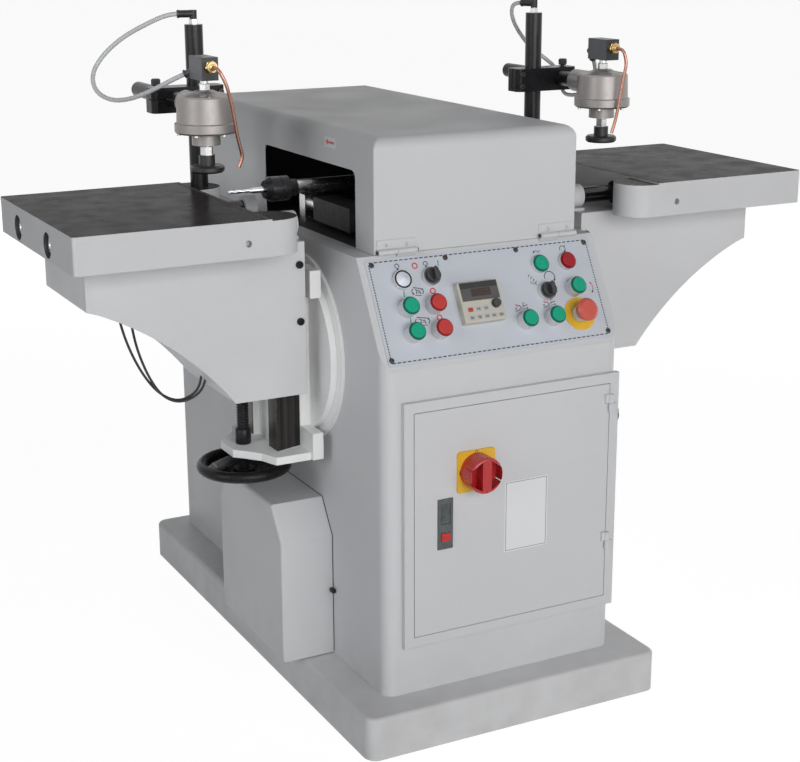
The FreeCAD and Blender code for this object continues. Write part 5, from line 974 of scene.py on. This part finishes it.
rear_out = framed(-X, Z, Y, (0, COLUMN_BACK, 0))
flat_piece("rear_cover", rounded_outline(-160, 160, 170, 640, 10), -0.3, 2, rear_out,
           "frame", "paint_grey", "paint")
rear_screws = bmesh.new()
for u in (-148, 148):
    for v in (182, 405, 628):
        dome_screw(rear_screws, rear_out @ Vector((u, v, 2)), Y, 5, 2.6, v)
piece("rear_cover_screws", rear_screws, "frame", "bright_steel", "zinc")
louvres = bmesh.new()
for k in range(7):
    z = 560 + k * 12
    for u in (-70, 10):
        extrude_outline(louvres, [(0, z), (5, z), (1.2, z + 7), (0, z + 7.5)], u, u + 60,
                        framed(Y, Z, X, (0, COLUMN_BACK + 1.7, 0)))
piece("rear_louvres", louvres, "frame", "paint_grey", "paint")

# Each side: threads, gib screws, arm screws, cylinder fittings, hose collars, folded grip, bar ends


def thread(shape, place, radius, root, low, high, pitch, steps=28):
    """A trapezoid thread cut along Z, with plain ends at the root's radius."""
    profile = (1, 1, 1, 0.5, 0, 0, 0, 0.5)
    count = len(profile)

    def section(height):
        points = []
        for k, (across, up) in enumerate(polygon(steps, 1)):
            phase = ((height - low) / pitch - k / steps) % 1 * count
            first = int(phase)
            share = phase - first
            cut = profile[first % count] * (1 - share) + profile[(first + 1) % count] * share
            out = root + (radius - root) * cut
            points.append((out * across, out * up))
        return points

    tube(shape, section, low, high, int((high - low) / pitch * count), place)


def lead_screw(side, sign):
    shape = bmesh.new()
    at = Matrix.Translation((SCREW_OUT * sign, WAY_Y, 0))
    lathe(shape, [(0, 399), (8, 399), (9, 400), (9, 465.25), (13, 465.3), (14, 466.3), (14, 492.3),
                  (13, 493.3), (9.8, 493.3), (0, 493.3)], at, 40)
    thread(shape, at, 11, 9.6, 493.2, 698, 5)
    lathe(shape, [(9.6, 698), (7.5, 700), (0, 700)], at, 28)
    piece(f"{side}_threaded_screw", shape, f"{side}_screw", "black_steel", "black_steel", 50,
          [f"{side}_lead_screw"])


def gib_screws(side, sign):
    shape = bmesh.new()
    for z in (802, 704):
        socket_screw(shape, (287 * sign, KNEE_FRONT_Y, z), -Y, 6.5, 4.5, z)
    piece(f"{side}_gib_screws", shape, f"{side}_knee", "black_steel", "black_steel")


def arm_fittings(side, sign):
    shape = bmesh.new()
    knob = Vector((422 * sign, 25, ARM_TOP))
    knurled_knob(shape, knob + Z * 2, Z, 8.2, 12)
    lathe(shape, [(4, 0), (4, 2.5)], Matrix.Translation(knob - Z * 0.2), 16)
    for z in (1044, 1067):
        socket_screw(shape, (312 * sign, -2, z), -Y, 5, 5, z)
    piece(f"{side}_arm_screws", shape, f"{side}_arm", "black_steel", "black_plastic")


def cylinder_fittings(side, sign):
    x = CROSS_OUT * sign
    body = f"{side}_bar"
    nut, brass, ribs, bolts = bmesh.new(), bmesh.new(), bmesh.new(), bmesh.new()
    hex_nut(nut, (x, CYLINDER_Y, CYLINDER_CROWN), Z, 9.6, 11.5, 6.8, 0.3)
    mouth_z = VALVE_FOOT + 22.8
    hex_nut(brass, (x, -179.7, mouth_z), -Y, 10.6, 7.5, 6, 0.2)
    lathe(brass, [(5.6, 0), (5.6, 3), (4.2, 4.5), (3.2, 4.5)], facing((x, -191.4, mouth_z), -Y), 24)
    for k in range(6):
        turn = Matrix.Translation((x, CYLINDER_Y, 0)) @ Matrix.Rotation(tau * k / 6 + 0.35, 4, "Z")
        extrude_outline(ribs, [(14, 1085.2), (24, 1082.2), (43.5, 1079.2), (43.5, 1076), (14, 1081)],
                        -1.6, 1.6, turn @ framed(X, Z, Y))
        angle = tau * k / 6 + 0.87
        spot = (x + 46 * cos(angle), CYLINDER_Y + 46 * sin(angle), 1015.7)
        socket_screw(bolts, spot, -Z, 3.4, 3.2, angle)
    piece(f"{side}_valve_nut", nut, body, "bright_steel", "zinc")
    piece(f"{side}_brass_nut", brass, body, "brass_copper", "brass")
    piece(f"{side}_crown_ribs", ribs, body, "cast_aluminium", "aluminium")
    piece(f"{side}_flange_bolts", bolts, body, "bright_steel", "zinc")


def hose_collars(side, sign):
    rings = bmesh.new()
    for mouth, way in hose_ends(side, sign):
        lathe(rings, [(4.1, -1.5), (6.9, -1.5), (7.3, -0.9), (7.3, 1.0), (6.6, 2.2), (4.1, 2.2)],
              facing(mouth, way), 28)
    piece(f"{side}_hose_collars", rings, f"{side}_bar", "collar_black", "black_plastic")


def folded_grip(side, sign):
    """The wheel's tapered grip, folded down across the dish."""
    start = Vector((SCREW_OUT * sign - 67, WAY_Y - 14, WHEEL_HEIGHT + 6.5))
    end = Vector((SCREW_OUT * sign - 12, WAY_Y + 34, WHEEL_HEIGHT + 3))
    length = (end - start).length
    profile = [(0, -4), (5, -4), (6.4, -2), (6.4, 3), (4.6, 4.5), (4.6, 7), (7.4, 8.5), (7.8, 14),
               (7.2, length * 0.5), (6.2, length - 6), (5.4, length - 2.5), (3.4, length), (0, length)]
    turned_piece(f"{side}_folded_grip", profile, facing(start, end - start), 28,
                 f"{side}_screw", "black_gloss", "grip")


def bar_ends(side, sign):
    """Set screws in the outer ends of the guide bars."""
    shape = bmesh.new()
    for y in (-229, -53):
        lathe(shape, [(9, -0.5), (9.6, 0.6), (14, 0.8), (14, 2.2), (12.8, 3), (8, 3), (7, -0.2)],
              facing((692 * sign, y, 866), X * sign))
    piece(f"{side}_bar_caps", shape, f"{side}_knee", "bright_steel", "zinc")


FITTINGS = (lead_screw, gib_screws, arm_fittings, cylinder_fittings, hose_collars, folded_grip, bar_ends)
for side, sign in SIDES:
    for add_fitting in FITTINGS:
        add_fitting(side, sign)


def cutter():
    """The bit: a plain shank with a shoulder and two twisted flutes."""
    shape = bmesh.new()
    at = facing(SPINDLE, -X)
    lathe(shape, [(0, 265.3), (4.95, 265.3), (4.95, 301), (6, 301.5), (6, 305), (4.95, 305.5), (4.95, 319),
                  (3.6, 325), (3.4, 327), (0, 327)], at)
    low, high = 323.5, 365
    radius, twist_length = 3.4, 30

    def section(height):
        twist = tau * (height - low) / twist_length
        tip = min(1.0, (high - height) / 2 + 0.45)
        points = []
        for angle in (tau * k / 24 for k in range(24)):
            out = radius * tip * (0.52 + 0.48 * abs(cos(angle)) ** 0.55)
            points.append((out * cos(angle + twist), out * sin(angle + twist)))
        return points

    tube(shape, section, low, high, 60, at)
    piece("fluted_bit", shape, "spindle", "bright_steel", "steel", 40, ["mortising_bit"])


cutter()

# Floor, world and lamps, in metres

WHITE = (1, 1, 1)
FLOOR_REACH = 40
FLOOR_GLOW, FLOOR_SHARE = 1.1, 0.86
AMBIENT = 0.03
LAMP_TARGET = Vector((0, 0, 0.6))
# Name, place, size, power, colour, and whether it shows in mirroring surfaces.
LAMPS = (
    ("key_right", (0.9, -5.0, 1.9), (3.0, 2.2), 68, WHITE, True),
    ("key_left", (-1.0, -5.0, 1.9), (3.0, 2.2), 90, WHITE, True),
    ("fill", (-4.5, -1.5, 2.2), (2.5, 2.5), 60, (0.94, 0.97, 1.0), True),
    ("back", (1.7, 5.0, 0.75), (3.0, 1.2), 130, WHITE, False),
    ("right", (5.2, 0.6, 0.75), (3.0, 1.2), 110, WHITE, False),
)


def show_white(nodes, surface, kind, strength, share, end):
    """Mixes the surface with plain white for rays that the camera, metal or glass sends."""
    path = nodes.add("LightPath")
    camera_ray, glossy_ray, through_ray = (path.outputs[f"Is {ray} Ray"]
                                           for ray in ("Camera", "Glossy", "Transmission"))
    seen = nodes.math("MAXIMUM", nodes.math("MAXIMUM", camera_ray, glossy_ray), through_ray)
    white = nodes.add(kind)
    white.inputs["Color"].default_value = (*WHITE, 1)
    white.inputs["Strength"].default_value = strength
    mix = nodes.add("MixShader")
    nodes.feed(mix.inputs[0], nodes.math("MULTIPLY", seen, share))
    nodes.feed(mix.inputs[1], surface.outputs[0])
    nodes.feed(mix.inputs[2], white.outputs[0])
    nodes.feed(nodes.tree.nodes[end].inputs["Surface"], mix.outputs[0])


def add_floor():
    data = bpy.data.meshes.new("floor")
    corners = rectangle(-FLOOR_REACH, FLOOR_REACH, -FLOOR_REACH, FLOOR_REACH)
    data.from_pydata([(x, y, 0) for x, y in corners], [], [(0, 1, 2, 3)])
    floor = new_object("floor", data)
    material = bpy.data.materials.new("floor")
    nodes = Nodes(material)
    diffuse = nodes.tree.nodes["Principled BSDF"]
    diffuse.inputs["Base Color"].default_value = (0.8, 0.8, 0.8, 1)
    diffuse.inputs["Roughness"].default_value = 1.0
    diffuse.inputs["Specular IOR Level"].default_value = 0.0
    show_white(nodes, diffuse, "Emission", FLOOR_GLOW, FLOOR_SHARE, "Material Output")
    data.materials.append(material)


def add_world():
    world = bpy.data.worlds.new("studio")
    bpy.context.scene.world = world
    nodes = Nodes(world)
    ambient = nodes.tree.nodes["Background"]
    ambient.inputs["Color"].default_value = (*WHITE, 1)
    ambient.inputs["Strength"].default_value = AMBIENT
    show_white(nodes, ambient, "Background", 1.0, 1.0, "World Output")


def add_lamp(name, place, size, power, colour, mirrored):
    data = bpy.data.lights.new(name, "AREA")
    data.shape = "RECTANGLE"
    data.size, data.size_y = size
    data.energy = power
    data.color = colour
    lamp = new_object(name, data)
    turn = (LAMP_TARGET - Vector(place)).to_track_quat("-Z", "Y").to_matrix().to_4x4()
    lamp.matrix_world = Matrix.Translation(Vector(place)) @ turn
    lamp.visible_glossy = mirrored


add_floor()
add_world()
for lamp_values in LAMPS:
    add_lamp(*lamp_values)
bpy.context.scene.view_settings.view_transform = "Standard"
